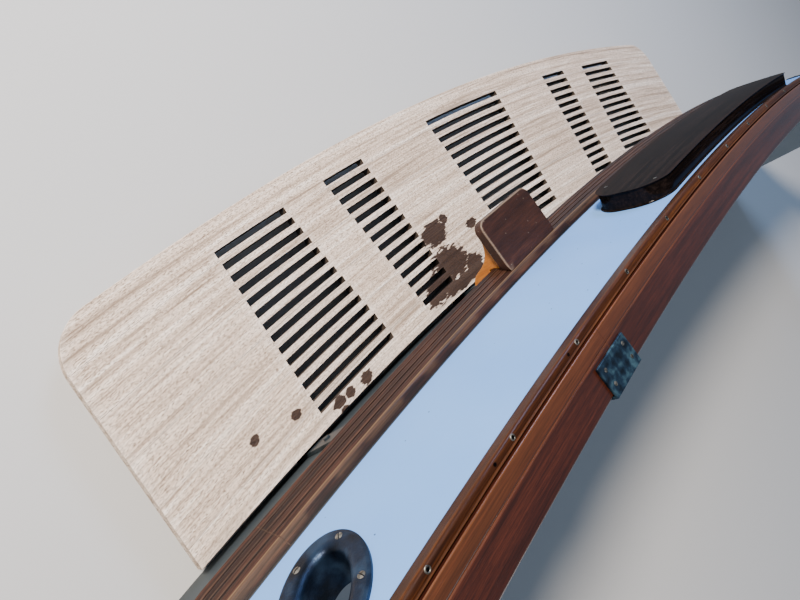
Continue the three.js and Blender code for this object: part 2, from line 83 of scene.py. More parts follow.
def stern(u):
    """The knuckle's plan at an arc length u from the middle: the wide stern arc, a tight arc round each
    quarter, then a straight return. Gives x, y, the outward direction's angle and the crown's fall."""
    side = np.where(u < 0, -1.0, 1.0)
    arc = np.minimum(np.abs(u), STERN_ARC)
    bend = np.clip(np.abs(u) - STERN_ARC, 0, QUARTER_ARC)
    straight = np.maximum(np.abs(u) - STERN_ARC - QUARTER_ARC, 0)
    low = arc / STERN_RADIUS
    angle = low + bend / QUARTER_RADIUS
    x = STERN_RADIUS * np.sin(low) + QUARTER_RADIUS * (np.sin(angle) - np.sin(low))
    quarter = QUARTER_RADIUS * (np.cos(low) - np.cos(angle))
    y = KNUCKLE_Y + STERN_RADIUS * (1 - np.cos(low)) + quarter + straight
    return side * x, y, side * angle, sag(CROWN_RADIUS, np.minimum(x, STERN_HALF))


def along_stern(flat):
    """Flat (u, aft, height) to the frame: aft runs along the outward direction, and the crown lowers it."""
    x, y, angle, drop = stern(flat[:, 0])
    aft = flat[:, 1]
    return np.stack([x + np.sin(angle) * aft, y - np.cos(angle) * aft, flat[:, 2] - drop], 1)


def along_wall(flat):
    """As along_stern, but the crown's fall fades to nothing between the knuckle and the level foot."""
    placed = along_stern(flat)
    drop = stern(flat[:, 0])[3]
    placed[:, 2] += drop * (1 - np.clip(flat[:, 2] / KNUCKLE_Z, 0, 1))
    return placed


def along_face(flat):
    """Flat (u, up, out) to the frame: up the bulwark's leaning face from the knuckle, and out of it."""
    aft = flat[:, 2] * math.cos(LEAN) - flat[:, 1] * math.sin(LEAN)
    height = KNUCKLE_Z + flat[:, 1] * math.cos(LEAN) + flat[:, 2] * math.sin(LEAN)
    return along_stern(np.stack([flat[:, 0], aft, height], 1))


def arc_at(x):
    """Arc length along the stern at a half-breadth x."""
    return STERN_RADIUS * math.asin(x / STERN_RADIUS)


def at_station(x, rolled):
    """A place function for flat (across, aft, height) pieces that stand square to the stern at x, and that
    roll with the crown where rolled is true."""
    yaw = Matrix.Rotation(math.asin(x / STERN_RADIUS), 3, "Z")
    roll = Matrix.Rotation(math.asin(x / CROWN_RADIUS), 3, "Y") if rolled else Matrix.Identity(3)
    turn = np.array(yaw @ roll)
    foot = KNUCKLE_Z if rolled else 0.0
    origin = np.array([x, KNUCKLE_Y + sag(STERN_RADIUS, x), foot - (sag(CROWN_RADIUS, x) if rolled else 0.0)])

    def place(flat):
        """Turns points about the foot and sets it down on the stern."""
        local = np.stack([flat[:, 0], -flat[:, 1], flat[:, 2] - foot], 1)
        return local @ turn.T + origin
    return place


# Meshes

def unit(vector):
    """A vector of length 1 along this one."""
    return vector / np.linalg.norm(vector)


def gridded(*values):
    """A grid's points, row by row, from arrays of coordinates that broadcast to its rows and columns."""
    return np.stack(np.broadcast_arrays(*values), -1).reshape(-1, len(values))


def new_object(name, data):
    """An object for a mesh, lamp or camera, in the scene."""
    made = bpy.data.objects.new(name, data)
    bpy.context.scene.collection.objects.link(made)
    return made


def mark(mesh, timber, wear):
    """Puts the flat coordinates on a mesh as the attribute timber, and its wear as another."""
    values = mesh.attributes.new("timber", "FLOAT_VECTOR", "POINT")
    values.data.foreach_set("vector", timber.astype(np.float32).ravel())
    values = mesh.attributes.new("wear", "FLOAT", "POINT")
    values.data.foreach_set("value", np.broadcast_to(wear, len(timber)).astype(np.float32))


def signed_volume(points, faces):
    """Six times the volume that fans of triangles from each face's first corner enclose."""
    total = 0.0
    for size in sorted({len(face) for face in faces}):
        block = np.array([face for face in faces if len(face) == size])
        first = points[block[:, 0]]
        for k in range(1, size - 1):
            across = np.cross(points[block[:, k]], points[block[:, k + 1]])
            total += np.einsum("ij,ij->i", first, across).sum()
    return total


def make_piece(name, flat, faces, place, material, replaced=(), wear=0, grain=(0, 1, 2), sharp=40):
    """Carries flat points to their place, turns the faces outwards and makes the piece. The flat points and
    the wear stay on the mesh, with the grain's direction first."""
    points = place(flat)
    if signed_volume(points, faces) < 0:
        faces = [face[::-1] for face in faces]
    mesh = bpy.data.meshes.new(name)
    mesh.from_pydata(points, [], faces)
    mark(mesh, flat[:, grain], wear)
    mesh.shade_smooth()
    mesh.set_sharp_from_angle(angle=math.radians(sharp))
    mesh.materials.append(material)
    piece = new_object(name, mesh)
    weighted = piece.modifiers.new("flat faces", "WEIGHTED_NORMAL")
    weighted.keep_sharp = True
    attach(piece, BODY)
    if replaced:
        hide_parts(*replaced)


def rounded(corners, steps=4):
    """A closed outline from corners of (a, b, radius): each corner becomes an arc that touches both its
    sides, found from the half angle between them."""
    corners = np.array(corners, float)
    points = corners[:, :2]
    outline = []
    neighbours = zip(points, np.roll(points, 1, 0), np.roll(points, -1, 0), corners[:, 2])
    for here, before, after, radius in neighbours:
        if radius == 0:
            outline.append(here[None])
            continue
        to_before, to_after = unit(before - here), unit(after - here)
        half = math.acos(np.clip(to_before @ to_after, -1, 1)) / 2
        bisector = unit(to_before + to_after)
        centre = here + bisector * radius / math.sin(half)
        start = here + to_before * radius / math.tan(half) - centre
        side = np.sign(start[0] * bisector[1] - start[1] * bisector[0])
        turn = -side * (math.pi - 2 * half) * np.linspace(0, 1, steps + 1)
        turned = start[0] * np.stack([np.cos(turn), np.sin(turn)], 1)
        turned += start[1] * np.stack([-np.sin(turn), np.cos(turn)], 1)
        outline.append(centre + turned)
    return np.concatenate(outline)


def ring_faces(rows, columns):
    """Quads between neighbouring rows of a grid whose columns close on themselves."""
    row, column = np.meshgrid(np.arange(rows - 1), np.arange(columns), indexing="ij")
    after = (column + 1) % columns
    quads = np.stack([row * columns + column, row * columns + after,
                      (row + 1) * columns + after, (row + 1) * columns + column], -1)
    return quads.reshape(-1, 4).tolist()


def swept(us, section):
    """Flat points and faces of one closed (aft, height) section carried along arc lengths us, with its ends
    closed by one face each."""
    rows, columns = len(us), len(section)
    ends = [list(range(columns))[::-1], list(range((rows - 1) * columns, rows * columns))]
    return gridded(us[:, None], *section.T), ring_faces(rows, columns) + ends


# How far a rim's corner may reach out, in edge radii, so that a sharp corner draws no spike
CORNER_REACH = 1.3


def plate(top, quads, low, high, edge, steps=4):
    """A closed plate from a flat grid of (a, b) points, which is its face less the edge radius, one for all
    points or one for each. Every edge that only one quad has is a rim: it is carried outwards and down a
    quarter circle, down the side, and back under. Gives flat points, faces and the wear, which is near 1 at
    the top of the rounded upper rim and fades to 0 where the side starts."""
    used = np.unique(quads)
    edge = np.broadcast_to(edge, len(top))[used]
    top, quads = top[used], np.searchsorted(used, quads)
    edges = np.concatenate([quads[:, [0, 1]], quads[:, [1, 2]], quads[:, [2, 3]], quads[:, [3, 0]]])
    size = len(top)
    code = edges[:, 0] * size + edges[:, 1]
    rim = edges[~np.isin(code, edges[:, 1] * size + edges[:, 0])]
    step = top[rim[:, 1]] - top[rim[:, 0]]
    normal = np.stack([step[:, 1], -step[:, 0]], 1) / np.linalg.norm(step, axis=1)[:, None]
    outward = np.zeros_like(top)
    np.add.at(outward, rim[:, 0], normal)
    np.add.at(outward, rim[:, 1], normal)
    on_rim = np.unique(rim)
    length = np.linalg.norm(outward[on_rim], axis=1)
    outward = outward[on_rim] * (np.minimum(2 / length, CORNER_REACH) / length)[:, None]
    number = np.full(size, -1)
    number[on_rim] = np.arange(len(on_rim))
    radius = edge[on_rim][:, None]
    turn = np.linspace(0, math.pi / 2, steps + 1)[1:]
    layers = [np.insert(top, 2, high, 1), np.insert(top, 2, low, 1)]
    faces = [quads, quads[:, ::-1] + size]
    wear = [np.zeros(size), np.zeros(size)]
    wear[0][on_rim] = 0.5
    above = rim
    count = 2 * size
    for angle, level, down in [(t, high, -1) for t in turn] + [(t, low, 1) for t in turn[::-1]]:
        height = level + down * radius * (1 - math.cos(angle))
        layers.append(np.hstack([top[on_rim] + outward * radius * math.sin(angle), height]))
        wear.append(np.full(len(on_rim), 1 - (angle / (math.pi / 2)) ** 3 if down < 0 else 0.0))
        below = number[rim] + count
        faces.append(np.stack([above[:, 1], above[:, 0], below[:, 0], below[:, 1]], 1))
        above = below
        count += len(on_rim)
    below = rim + size
    faces.append(np.stack([above[:, 1], above[:, 0], below[:, 0], below[:, 1]], 1))
    return np.concatenate(layers), np.concatenate(faces).tolist(), np.concatenate(wear)


def grid_quads(rows, columns, keep=None):
    """Quads of an open grid, less those that keep marks false."""
    row, column = np.meshgrid(np.arange(rows - 1), np.arange(columns - 1), indexing="ij")
    corner = row * columns + column
    quads = np.stack([corner, corner + 1, corner + columns + 1, corner + columns], -1)
    return (quads if keep is None else quads[keep]).reshape(-1, 4)


def two_skins(rows, columns, keep=None):
    """Faces of a closed body between two equal grids, with the second grid's points after the first's."""
    quads = grid_quads(rows, columns, keep)
    size = rows * columns
    numbers = np.arange(size).reshape(rows, columns)
    faces = [quads, quads[:, ::-1] + size]
    borders = ((numbers[:, 0], False), (numbers[:, -1], True), (numbers[0], True), (numbers[-1], False))
    for line, flip in borders:
        wall = np.stack([line[:-1], line[1:], line[1:] + size, line[:-1] + size], 1)
        faces.append(wall[:, ::-1] if flip else wall)
    return faces


def seat_at(place, point, out=2):
    """Where a small part sits on a surface: the place of a flat point, and the unit axes along the first flat
    direction, across it and out of the surface, from short steps. Out says which flat direction leads out."""
    ends = np.tile(np.array(point, float), (3, 1))
    ends[1, 0] += 1e-4
    ends[2, out] += 1e-4
    origin, along, outward = place(ends)
    along, outward = unit(along - origin), unit(outward - origin)
    return origin, np.stack([along, np.cross(outward, along), outward])


def as_placed(flat):
    """For points that are already in the frame."""
    return flat


# Materials

def linear(hex_value):
    """An sRGB hex colour as linear RGBA."""
    channels = np.array([int(hex_value[i:i + 2], 16) for i in (1, 3, 5)]) / 255
    light = np.where(channels <= 0.04045, channels / 12.92, ((channels + 0.055) / 1.055) ** 2.4)
    return (*light, 1.0)


def connect(tree, node, inputs):
    """Sets a node's inputs, each to a value or by a link from another node's output."""
    for key, value in inputs.items():
        if isinstance(value, bpy.types.NodeSocket):
            tree.links.new(value, node.inputs[key])
        else:
            node.inputs[key].default_value = value


def add(tree, kind, inputs=None, out=0, stops=(), **settings):
    """One node with its settings, its inputs and a colour ramp's stops. Gives one of its outputs. A colour
    mix has its share at input 0, its colours at 6 and 7, and its result at output 2."""
    made = tree.nodes.new("ShaderNode" + kind)
    for key, value in settings.items():
        setattr(made, key, value)
    connect(tree, made, inputs or {})
    if stops:
        ramp = made.color_ramp
        while len(ramp.elements) < len(stops):
            ramp.elements.new(0.5)
        for element, (position, colour) in zip(ramp.elements, stops):
            element.position = position
            element.color = linear(colour)
    return made.outputs[out]


def blank(name):
    """A new material's tree, with its surface shader."""
    material = bpy.data.materials.new(name)
    material.use_nodes = True
    return material, material.node_tree, material.node_tree.nodes["Principled BSDF"]


def mm(length, width):
    """A pattern's scale from its real size in millimetres, along the grain and across it."""
    return (1000 / length, 1000 / width, 1000 / width)


# How strongly wear clears the colour along the grain lines, where a pore opens in its noise, how deep it
# cuts into the relief, and how far the roughness strays
WEAR_GAIN = 1.7
PORE_FROM, PORE_TO, PORE_DEPTH = 0.46, 0.72, -0.8
ROUGHNESS_SPREAD = 0.08
WET_FROM, WET_TO, WET_TONE = 0.72, 0.80, "#4b3f39"
# The last of these, a near black, is painted shade in screw slots, cup recesses and empty screw holes
PATINA_STOPS, PATINA_SPREAD, METAL_RECESS_SHADE = (0.35, 0.5, 0.68), 0.15, "#08090a"


def wood(name, tones, worn, dirt, sizes, contrast, roughness, coat, specular, relief, pore=0.6):
    """Timber cut along its grain: broad tone bands, fine grain lines and open pores, of these sizes in
    millimetres, all from the flat coordinates, so that they follow the bent wood. Pores take up to their
    share of the darkest tone. Positive wear shows the worn colour, which on some arrises and hollows is a
    painted highlight, and negative wear the dirt colour, which stands for real dirt and stains, and for
    painted shade in hollows, grooves, seams and slots."""
    material, tree, shader = blank(name)
    flat = add(tree, "Attribute", out="Vector", attribute_name="timber")
    wear = add(tree, "Attribute", out="Fac", attribute_name="wear")
    layers = []
    for size, detail in zip(sizes, (3.0, 5.0, 2.0)):
        scaled = add(tree, "Mapping", {"Vector": flat, "Scale": mm(*size)})
        layers.append(add(tree, "TexNoise", {"Vector": scaled, "Scale": 1.0, "Detail": detail,
                                             "Roughness": 0.6, "Distortion": 0.4}))
    bands, lines, pores = layers
    mixed = add(tree, "Math", {0: bands, 1: 0.5}, operation="MULTIPLY")
    mixed = add(tree, "Math", {0: lines, 1: 0.5, 2: mixed}, operation="MULTIPLY_ADD")
    tone = add(tree, "ValToRGB", {"Fac": mixed},
               stops=[(0.5 - contrast, tones[0]), (0.5, tones[1]), (0.5 + contrast, tones[2])])
    open_pore = add(tree, "MapRange", {"Value": pores, "From Min": PORE_FROM, "From Max": PORE_TO,
                                       "To Max": pore})
    dark = add(tree, "Mix", {0: open_pore, 6: tone, 7: linear(tones[0])}, 2, data_type="RGBA")
    patchy = add(tree, "Math", {0: lines, 1: WEAR_GAIN}, operation="MULTIPLY")
    bare = add(tree, "Math", {0: wear, 1: patchy}, operation="MULTIPLY", use_clamp=True)
    rubbed = add(tree, "Mix", {0: bare, 6: dark, 7: linear(worn)}, 2, data_type="RGBA")
    # Negative wear mixes in the dirt colour: real stains and dirt, and painted shade in hollows, grooves,
    # seams and slots
    dirt_and_shade = add(tree, "Math", {0: wear, 1: -1.0}, operation="MULTIPLY", use_clamp=True)
    colour = add(tree, "Mix", {0: dirt_and_shade, 6: rubbed, 7: linear(dirt)}, 2, data_type="RGBA")
    rough = add(tree, "MapRange", {"Value": lines, "To Min": roughness - ROUGHNESS_SPREAD,
                                   "To Max": roughness + ROUGHNESS_SPREAD})
    height = add(tree, "Math", {0: open_pore, 1: PORE_DEPTH, 2: lines}, operation="MULTIPLY_ADD")
    bump = add(tree, "Bump", {"Height": height, "Distance": relief, "Strength": 1.0})
    connect(tree, shader, {"Base Color": colour, "Roughness": rough, "Normal": bump, "Coat Weight": coat,
                           "Coat Roughness": 0.1, "Specular IOR Level": specular, "IOR": 1.5})
    return material


def specked(material, spacing, radius, share, colour):
    """Small specks of a colour, of a radius in millimetres, at random points about a spacing apart: the
    distance to the nearest point sets how much of the colour shows, up to a share."""
    tree = material.node_tree
    shader = tree.nodes["Principled BSDF"]
    clean = shader.inputs["Base Color"].links[0].from_socket
    place = add(tree, "TexCoord", out="Object")
    distance = add(tree, "TexVoronoi", {"Vector": place, "Scale": 1000 / spacing})
    speck = add(tree, "MapRange", {"Value": distance, "From Min": radius / spacing,
                                   "From Max": 0.6 * radius / spacing, "To Max": share})
    mixed = add(tree, "Mix", {0: speck, 6: clean, 7: linear(colour)}, 2, data_type="RGBA")
    connect(tree, shader, {"Base Color": mixed})


def wetted(material, patches):
    """Wet patches on a plank's face: each is an ellipse in the flat (x, inset) plane whose depth falls from 1
    at its middle to 0 at its edge, and a noise drawn out along the grain makes the edge ragged. Wet teak is
    darker and smoother."""
    tree = material.node_tree
    shader = tree.nodes["Principled BSDF"]
    dry = shader.inputs["Base Color"].links[0].from_socket
    flat = add(tree, "Attribute", out="Vector", attribute_name="timber")
    scaled = add(tree, "Mapping", {"Vector": flat, "Scale": mm(34, 9)})
    ragged = add(tree, "TexNoise", {"Vector": scaled, "Scale": 1.0, "Detail": 4.0})
    depth = 0.0
    for x, inset, length, width, turn in patches:
        local = add(tree, "Mapping", {"Vector": flat, "Location": (x, inset, 0),
                                      "Rotation": (0, 0, math.radians(turn)),
                                      "Scale": (length, width, 1e6)}, vector_type="TEXTURE")
        radius = add(tree, "VectorMath", {0: local}, "Value", operation="LENGTH")
        inside = add(tree, "Math", {0: 1.0, 1: radius}, operation="SUBTRACT")
        depth = add(tree, "Math", {0: inside, 1: depth}, operation="MAXIMUM")
    edge = add(tree, "Math", {0: ragged, 1: 1.0, 2: depth}, operation="MULTIPLY_ADD")
    wet = add(tree, "MapRange", {"Value": edge, "From Min": WET_FROM, "From Max": WET_TO})
    soaked = add(tree, "Mix", {0: wet, 6: dry, 7: linear(WET_TONE)}, 2, data_type="RGBA",
                 blend_type="MULTIPLY")
    smooth = add(tree, "MapRange", {"Value": wet, "To Min": 0.8, "To Max": 0.55})
    connect(tree, shader, {"Base Color": soaked, "Roughness": smooth})


def metal(name, tones, spot, roughness, metallic, relief):
    """Cast or rolled metal: a patchy patina of spot millimetres over a rough skin of 3 mm, which is coarser
    than the real skin so that it shows. Negative wear is near black painted shade, for slots and recesses."""
    material, tree, shader = blank(name)
    place = add(tree, "TexCoord", out="Object")
    wear = add(tree, "Attribute", out="Fac", attribute_name="wear")
    patina = add(tree, "TexNoise", {"Vector": place, "Scale": 1000 / spot, "Detail": 6.0})
    skin = add(tree, "TexNoise", {"Vector": place, "Scale": 1000 / 3.0, "Detail": 3.0})
    tone = add(tree, "ValToRGB", {"Fac": patina}, stops=list(zip(PATINA_STOPS, tones)))
    # Negative wear mixes in near black: painted shade in screw slots, cup recesses and empty holes
    dirt_and_shade = add(tree, "Math", {0: wear, 1: -1.0}, operation="MULTIPLY", use_clamp=True)
    colour = add(tree, "Mix", {0: dirt_and_shade, 6: tone, 7: linear(METAL_RECESS_SHADE)}, 2, data_type="RGBA")
    rough = add(tree, "MapRange", {"Value": patina, "To Min": roughness - PATINA_SPREAD,
                                   "To Max": roughness + PATINA_SPREAD})
    bump = add(tree, "Bump", {"Height": skin, "Distance": relief, "Strength": 1.0})
    connect(tree, shader, {"Base Color": colour, "Roughness": rough, "Normal": bump, "Metallic": metallic})
    return material


# Paint tones of the wall, dark and light, and where one gives way to the next: on the rise, behind the rub
# rail, and on the way from the outer side to the inner one. The bulwark's pale blue paints the blue sky
# light on white gelcoat, and the hull's dark slate paints the deep shade below the rub rail.
HULL_SHADE_TONES = ("#30373a", "#3e4548")
BULWARK_SKYLIGHT_TONES = ("#5f8dc9", "#6a96cf")
INSIDE_TONES = ("#a9b0b3", "#b8bec0")
PAINT_LINE, INSIDE_LINE, PAINT_FADE = KNUCKLE_Z - 0.04, 0.03, 0.005


def gelcoat(name):
    """White gelcoat outside the bulwark, chalky from sun and salt, tinted pale blue as painted sky light, and
    dark slate on the hull below as painted shade. The wall's flat coordinates tell the rise, so that the
    change follows the crown, and the side, so that the inside is white throughout. Each paint drifts
    between two tones in clouds of 400 mm."""
    material, tree, shader = blank(name)
    place = add(tree, "TexCoord", out="Object")
    flat = add(tree, "Attribute", out="Vector", attribute_name="timber")
    skin = add(tree, "SeparateXYZ", {0: flat}).node.outputs
    cloud = add(tree, "TexNoise", {"Vector": place, "Scale": 1000 / 400.0, "Detail": 4.0})
    hull, bulwark, inside = [add(tree, "ValToRGB", {"Fac": cloud}, stops=[(0.3, dark), (0.7, light)])
                             for dark, light in (HULL_SHADE_TONES, BULWARK_SKYLIGHT_TONES, INSIDE_TONES)]
    colour = hull
    for paint, axis, line in ((bulwark, "Z", PAINT_LINE), (inside, "Y", INSIDE_LINE)):
        past = add(tree, "MapRange", {"Value": skin[axis], "From Min": line, "From Max": line + PAINT_FADE})
        colour = add(tree, "Mix", {0: past, 6: colour, 7: paint}, 2, data_type="RGBA")
    connect(tree, shader, {"Base Color": colour, "Roughness": 0.42, "Specular IOR Level": 0.02})
    return material


# Sizes of the grain in millimetres, along the wood and across it: tone bands, grain lines and pores. Real
# pores are finer, and are drawn as coarse as they need to be to show.
FINE_TEAK = ((1400, 24), (240, 6), (9, 3.2))
STRAIGHT = ((700, 12), (120, 2.5), (20, 1.2))
SHORT_GRAIN = ((300, 30), (60, 3), (14, 1.5))
DENSE_GRAIN = ((500, 10), (60, 1.5), (12, 0.8))

# Wet patches on the platform: x, distance in from its outer edge, half length, half width and turn
WET_PATCHES = (
    (0.548, 0.442, 0.098, 0.058, 4), (0.470, 0.420, 0.030, 0.024, 0), (0.555, 0.560, 0.130, 0.080, -10),
    (0.660, 0.600, 0.130, 0.062, 12), (0.455, 0.615, 0.070, 0.044, 0), (0.540, 0.640, 0.190, 0.030, 0),
    (0.350, 0.493, 0.050, 0.022, 0), (1.518, 0.532, 0.022, 0.017, 10), (1.381, 0.565, 0.024, 0.019, 0),
    (1.248, 0.633, 0.034, 0.022, 0), (1.200, 0.636, 0.026, 0.020, 0), (1.124, 0.641, 0.038, 0.024, 0),
    (1.245, 0.658, 0.022, 0.014, 0),
)

# Silvered, bone-dry teak: pale and matt, streaked cream and tan, with dark pores and specks
BARE_TEAK = wood(
    "weathered bare teak", ("#85725f", "#dac5b2", "#fff5e8"), worn="#f1e9df", dirt="#1b1613",
    sizes=FINE_TEAK, contrast=0.16, roughness=0.8, coat=0.0, specular=0.3, relief=0.0012, pore=1.0)
wetted(BARE_TEAK, WET_PATCHES)
specked(BARE_TEAK, spacing=24, radius=2.4, share=0.55, colour="#3a2f29")

# Old varnish gone thin: dark in the hollows as painted shade, tan where feet and fenders rub it
RAIL_VARNISH = wood(
    "old varnish on mahogany", ("#100806", "#25140e", "#41271c"), worn="#604c38", dirt="#0b0605",
    sizes=STRAIGHT, contrast=0.11, roughness=0.5, coat=0.05, specular=0.2, relief=0.0003)

# Many coats of gloss varnish: deep red-brown, amber where it has thinned near the groove
CAP_VARNISH = wood(
    "gloss varnish on mahogany", ("#1a0b07", "#30150d", "#462115"), worn="#6a4020", dirt="#100806",
    sizes=STRAIGHT, contrast=0.17, roughness=0.34, coat=0.5, specular=0.3, relief=0.0002)

# The same wood under thinner varnish: more amber, with a softer shine
STRIP_VARNISH = wood(
    "amber varnish on mahogany", ("#170a05", "#341a09", "#573110"), worn="#5f4126", dirt="#100906",
    sizes=STRAIGHT, contrast=0.2, roughness=0.42, coat=0.14, specular=0.12, relief=0.0002)

# Almost black stain under gloss: its end grain and edges show dark red
BOARD_VARNISH = wood(
    "dark stained gloss varnish", ("#060505", "#0f0b0a", "#221a17"), worn="#3a2219", dirt="#040303",
    sizes=DENSE_GRAIN, contrast=0.12, roughness=0.32, coat=0.12, specular=0.0, relief=0.0002)

# Varnish trodden dull: a dark board with pale edges and scuffs
STEP_VARNISH = wood(
    "worn varnish", ("#180d09", "#2e1911", "#44281c"), worn="#8b7966", dirt="#0d0806",
    sizes=SHORT_GRAIN, contrast=0.2, roughness=0.5, coat=0.05, specular=0.3, relief=0.0003)
specked(STEP_VARNISH, spacing=18, radius=1.8, share=0.35, colour="#a09488")

# Clear varnish on teak in the step's shade: honey-coloured, with a bold grain
KNEE_VARNISH = wood(
    "honey varnish on teak", ("#84460d", "#a96419", "#c47d2b"), worn="#d09a58", dirt="#301906",
    sizes=SHORT_GRAIN, contrast=0.24, roughness=0.4, coat=0.3, specular=0.4, relief=0.0002)

# Cast bronze tarnished at sea: dark and patchy, with a dull shine, and a blue tint that paints the sky's
# reflection
BRONZE = metal("tarnished cast bronze", ("#0a111c", "#132135", "#273b52"),
               spot=40, roughness=0.42, metallic=0.75, relief=0.0004)
# Rolled bronze with verdigris: greener, lighter and rougher than the casting
PLATE_BRONZE = metal("verdigris bronze plate", ("#0d1722", "#1a2e40", "#3f5f6c"),
                     spot=22, roughness=0.5, metallic=0.6, relief=0.0006)
# Screw heads worn grey: bright against the wood, with small dull spots
SCREW_METAL = metal("worn nickel bronze", ("#4a4842", "#77746c", "#9a978e"),
                    spot=8, roughness=0.38, metallic=0.9, relief=0.0001)
# Paint on rolled steel: blue-black and half matt
STEEL = metal("dark paint on steel", ("#141b1f", "#212b30", "#2f3b40"),
              spot=60, roughness=0.5, metallic=0.2, relief=0.0003)
# Rubber squeezed into the joints: black and matt
SEALANT = metal("black rubber sealant", ("#0c0c0d", "#141415", "#1c1c1e"),
                spot=15, roughness=0.6, metallic=0.0, relief=0.0002)
# Moulded gelcoat dulled by the sun: smooth and even, with specks of dark dirt
GELCOAT = gelcoat("sun-dulled gelcoat")
specked(GELCOAT, spacing=40, radius=2.0, share=0.9, colour="#24282c")


# Wall

HAWSE_X = 1.824
HAWSE_U = arc_at(HAWSE_X)
HAWSE_UP = (1.187 - KNUCKLE_Z) / math.cos(LEAN)
HAWSE_TILT = math.radians(42)
HAWSE_HOLE = np.array([0.080, 0.044])
SLEEVE = 0.004

# Block of finer cells round each hawse hole: half its width, and its foot and head above the knuckle
HOLE_BORDER = 0.1
BORDER_LOW, BORDER_HIGH = 0.05, 0.255
BORDER_CELLS_U, BORDER_CELLS_UP = 16, 12
# Cells of the wall along the wide stern arc, round the quarters and up the hull
STERN_CELL, QUARTER_CELL, HULL_CELL = 0.04, 0.015, 0.13


def spaced(breaks, step):
    """Values between the given breaks, about a step apart, each break among them."""
    parts = [np.linspace(a, b, max(1, round((b - a) / step)) + 1)[:-1] for a, b in zip(breaks, breaks[1:])]
    return np.append(np.concatenate(parts), breaks[-1])


def wall_place(flat):
    """Flat (u, side, up): side 0 is the outer skin and 1 the inner one, up is measured along the faces from
    the foot, and the skins lie a wall's thickness apart fore and aft."""
    rise = flat[:, 2]
    below = np.clip(rise / KNUCKLE_Z, 0, 1)
    above = np.clip(rise - KNUCKLE_Z, 0, FACE_LENGTH)
    aft = FOOT_AFT * (1 - below) - above * math.sin(LEAN) - flat[:, 1] * WALL
    height = KNUCKLE_Z * below + above * math.cos(LEAN)
    return along_wall(np.stack([flat[:, 0], aft, height], 1))


def oval(angle, halves, tilt):
    """Points of a tilted ellipse at these angles of its own."""
    a, b = halves[0] * np.cos(angle), halves[1] * np.sin(angle)
    return np.stack([a * math.cos(tilt) - b * math.sin(tilt), a * math.sin(tilt) + b * math.cos(tilt)], 1)


def hole_border(side, us, ups):
    """The border of the cells left out for a hawse hole: its rows and columns in the wall's grid, its points,
    and the point of the tilted oval that faces each of them."""
    first_u = np.searchsorted(us, side * HAWSE_U - HOLE_BORDER - 1e-6)
    first_up = np.searchsorted(ups, KNUCKLE_Z + BORDER_LOW - 1e-6)
    last_u, last_up = first_u + BORDER_CELLS_U, first_up + BORDER_CELLS_UP
    i = np.concatenate([np.arange(first_u, last_u), np.full(BORDER_CELLS_UP, last_u),
                        np.arange(last_u, first_u, -1), np.full(BORDER_CELLS_UP, first_u)])
    j = np.concatenate([np.full(BORDER_CELLS_U, first_up), np.arange(first_up, last_up),
                        np.full(BORDER_CELLS_U, last_up), np.arange(last_up, first_up, -1)])
    border = np.stack([us[i], ups[j]], 1)
    centre = np.array([side * HAWSE_U, KNUCKLE_Z + HAWSE_UP])
    away = border - centre
    tilt = side * HAWSE_TILT
    own = np.stack([away[:, 0] * math.cos(tilt) + away[:, 1] * math.sin(tilt),
                    -away[:, 0] * math.sin(tilt) + away[:, 1] * math.cos(tilt)], 1)
    halves = HAWSE_HOLE + SLEEVE + SEAT
    angle = np.arctan2(own[:, 1] / halves[1], own[:, 0] / halves[0])
    return i, j, border, centre + oval(angle, halves, tilt)


def wall_hole(numbers, border, hole, size, count):
    """A hawse hole through both skins: on each skin, rings that blend from the oval to the border, and a
    tunnel between the two ovals. Each skin has size points, and count points came before the hole's."""
    blend = np.linspace(0, 1, 5)[:-1, None, None]
    shift = np.array([0.0, WALL * math.sin(LEAN)])
    points, faces, ovals = [], [], []
    for skin in (0, 1):
        rings = (hole - skin * shift) * (1 - blend) + border * blend
        points.append(gridded(rings[..., 0], skin, rings[..., 1]))
        lines = [count + k * len(border) + np.arange(len(border)) for k in range(len(blend))]
        lines.append(numbers + skin * size)
        for near, far in zip(lines, lines[1:]):
            patch = np.stack([near, far, np.roll(far, -1), np.roll(near, -1)], 1)
            faces.append(patch if skin == 0 else patch[:, ::-1])
        ovals.append(lines[0])
        count += len(blend) * len(border)
    faces.append(np.stack([ovals[0], np.roll(ovals[0], -1), np.roll(ovals[1], -1), ovals[1]], 1))
    return points, faces


def add_wall():
    """The hollow shell of the transom as one closed skin: outer face, top, inner face and foot."""
    inner, outer = HAWSE_U - HOLE_BORDER, HAWSE_U + HOLE_BORDER
    middle = spaced([-inner, inner], STERN_CELL)
    patch = np.linspace(inner, outer, BORDER_CELLS_U + 1)
    quarter = spaced([outer, STERN_ARC + QUARTER_ARC, RUN_END], QUARTER_CELL)
    half = np.concatenate([patch[1:], quarter[1:]])
    us = np.concatenate([-half[::-1], middle, half])
    lower = spaced([0, KNUCKLE_Z], HULL_CELL)
    face = np.concatenate([[BORDER_LOW / 2], np.linspace(BORDER_LOW, BORDER_HIGH, BORDER_CELLS_UP + 1),
                           [FACE_LENGTH]])
    ups = np.concatenate([lower, KNUCKLE_Z + face])
    rows, columns = len(us), len(ups)
    size = rows * columns
    points = [gridded(us[:, None], skin, ups) for skin in (0, 1)]
    keep = np.ones((rows - 1, columns - 1), bool)
    borders = [hole_border(side, us, ups) for side, _ in SIDES]
    for i, j, *_ in borders:
        keep[i.min():i.max(), j.min():j.max()] = False
    faces = two_skins(rows, columns, keep)
    for i, j, border, hole in borders:
        hole_points, hole_faces = wall_hole(i * columns + j, border, hole, size, sum(map(len, points)))
        points += hole_points
        faces += hole_faces
    make_piece("transom_shell", np.concatenate(points), np.concatenate(faces).tolist(), wall_place, GELCOAT,
               ["transom_wall"], sharp=20)


# Rails

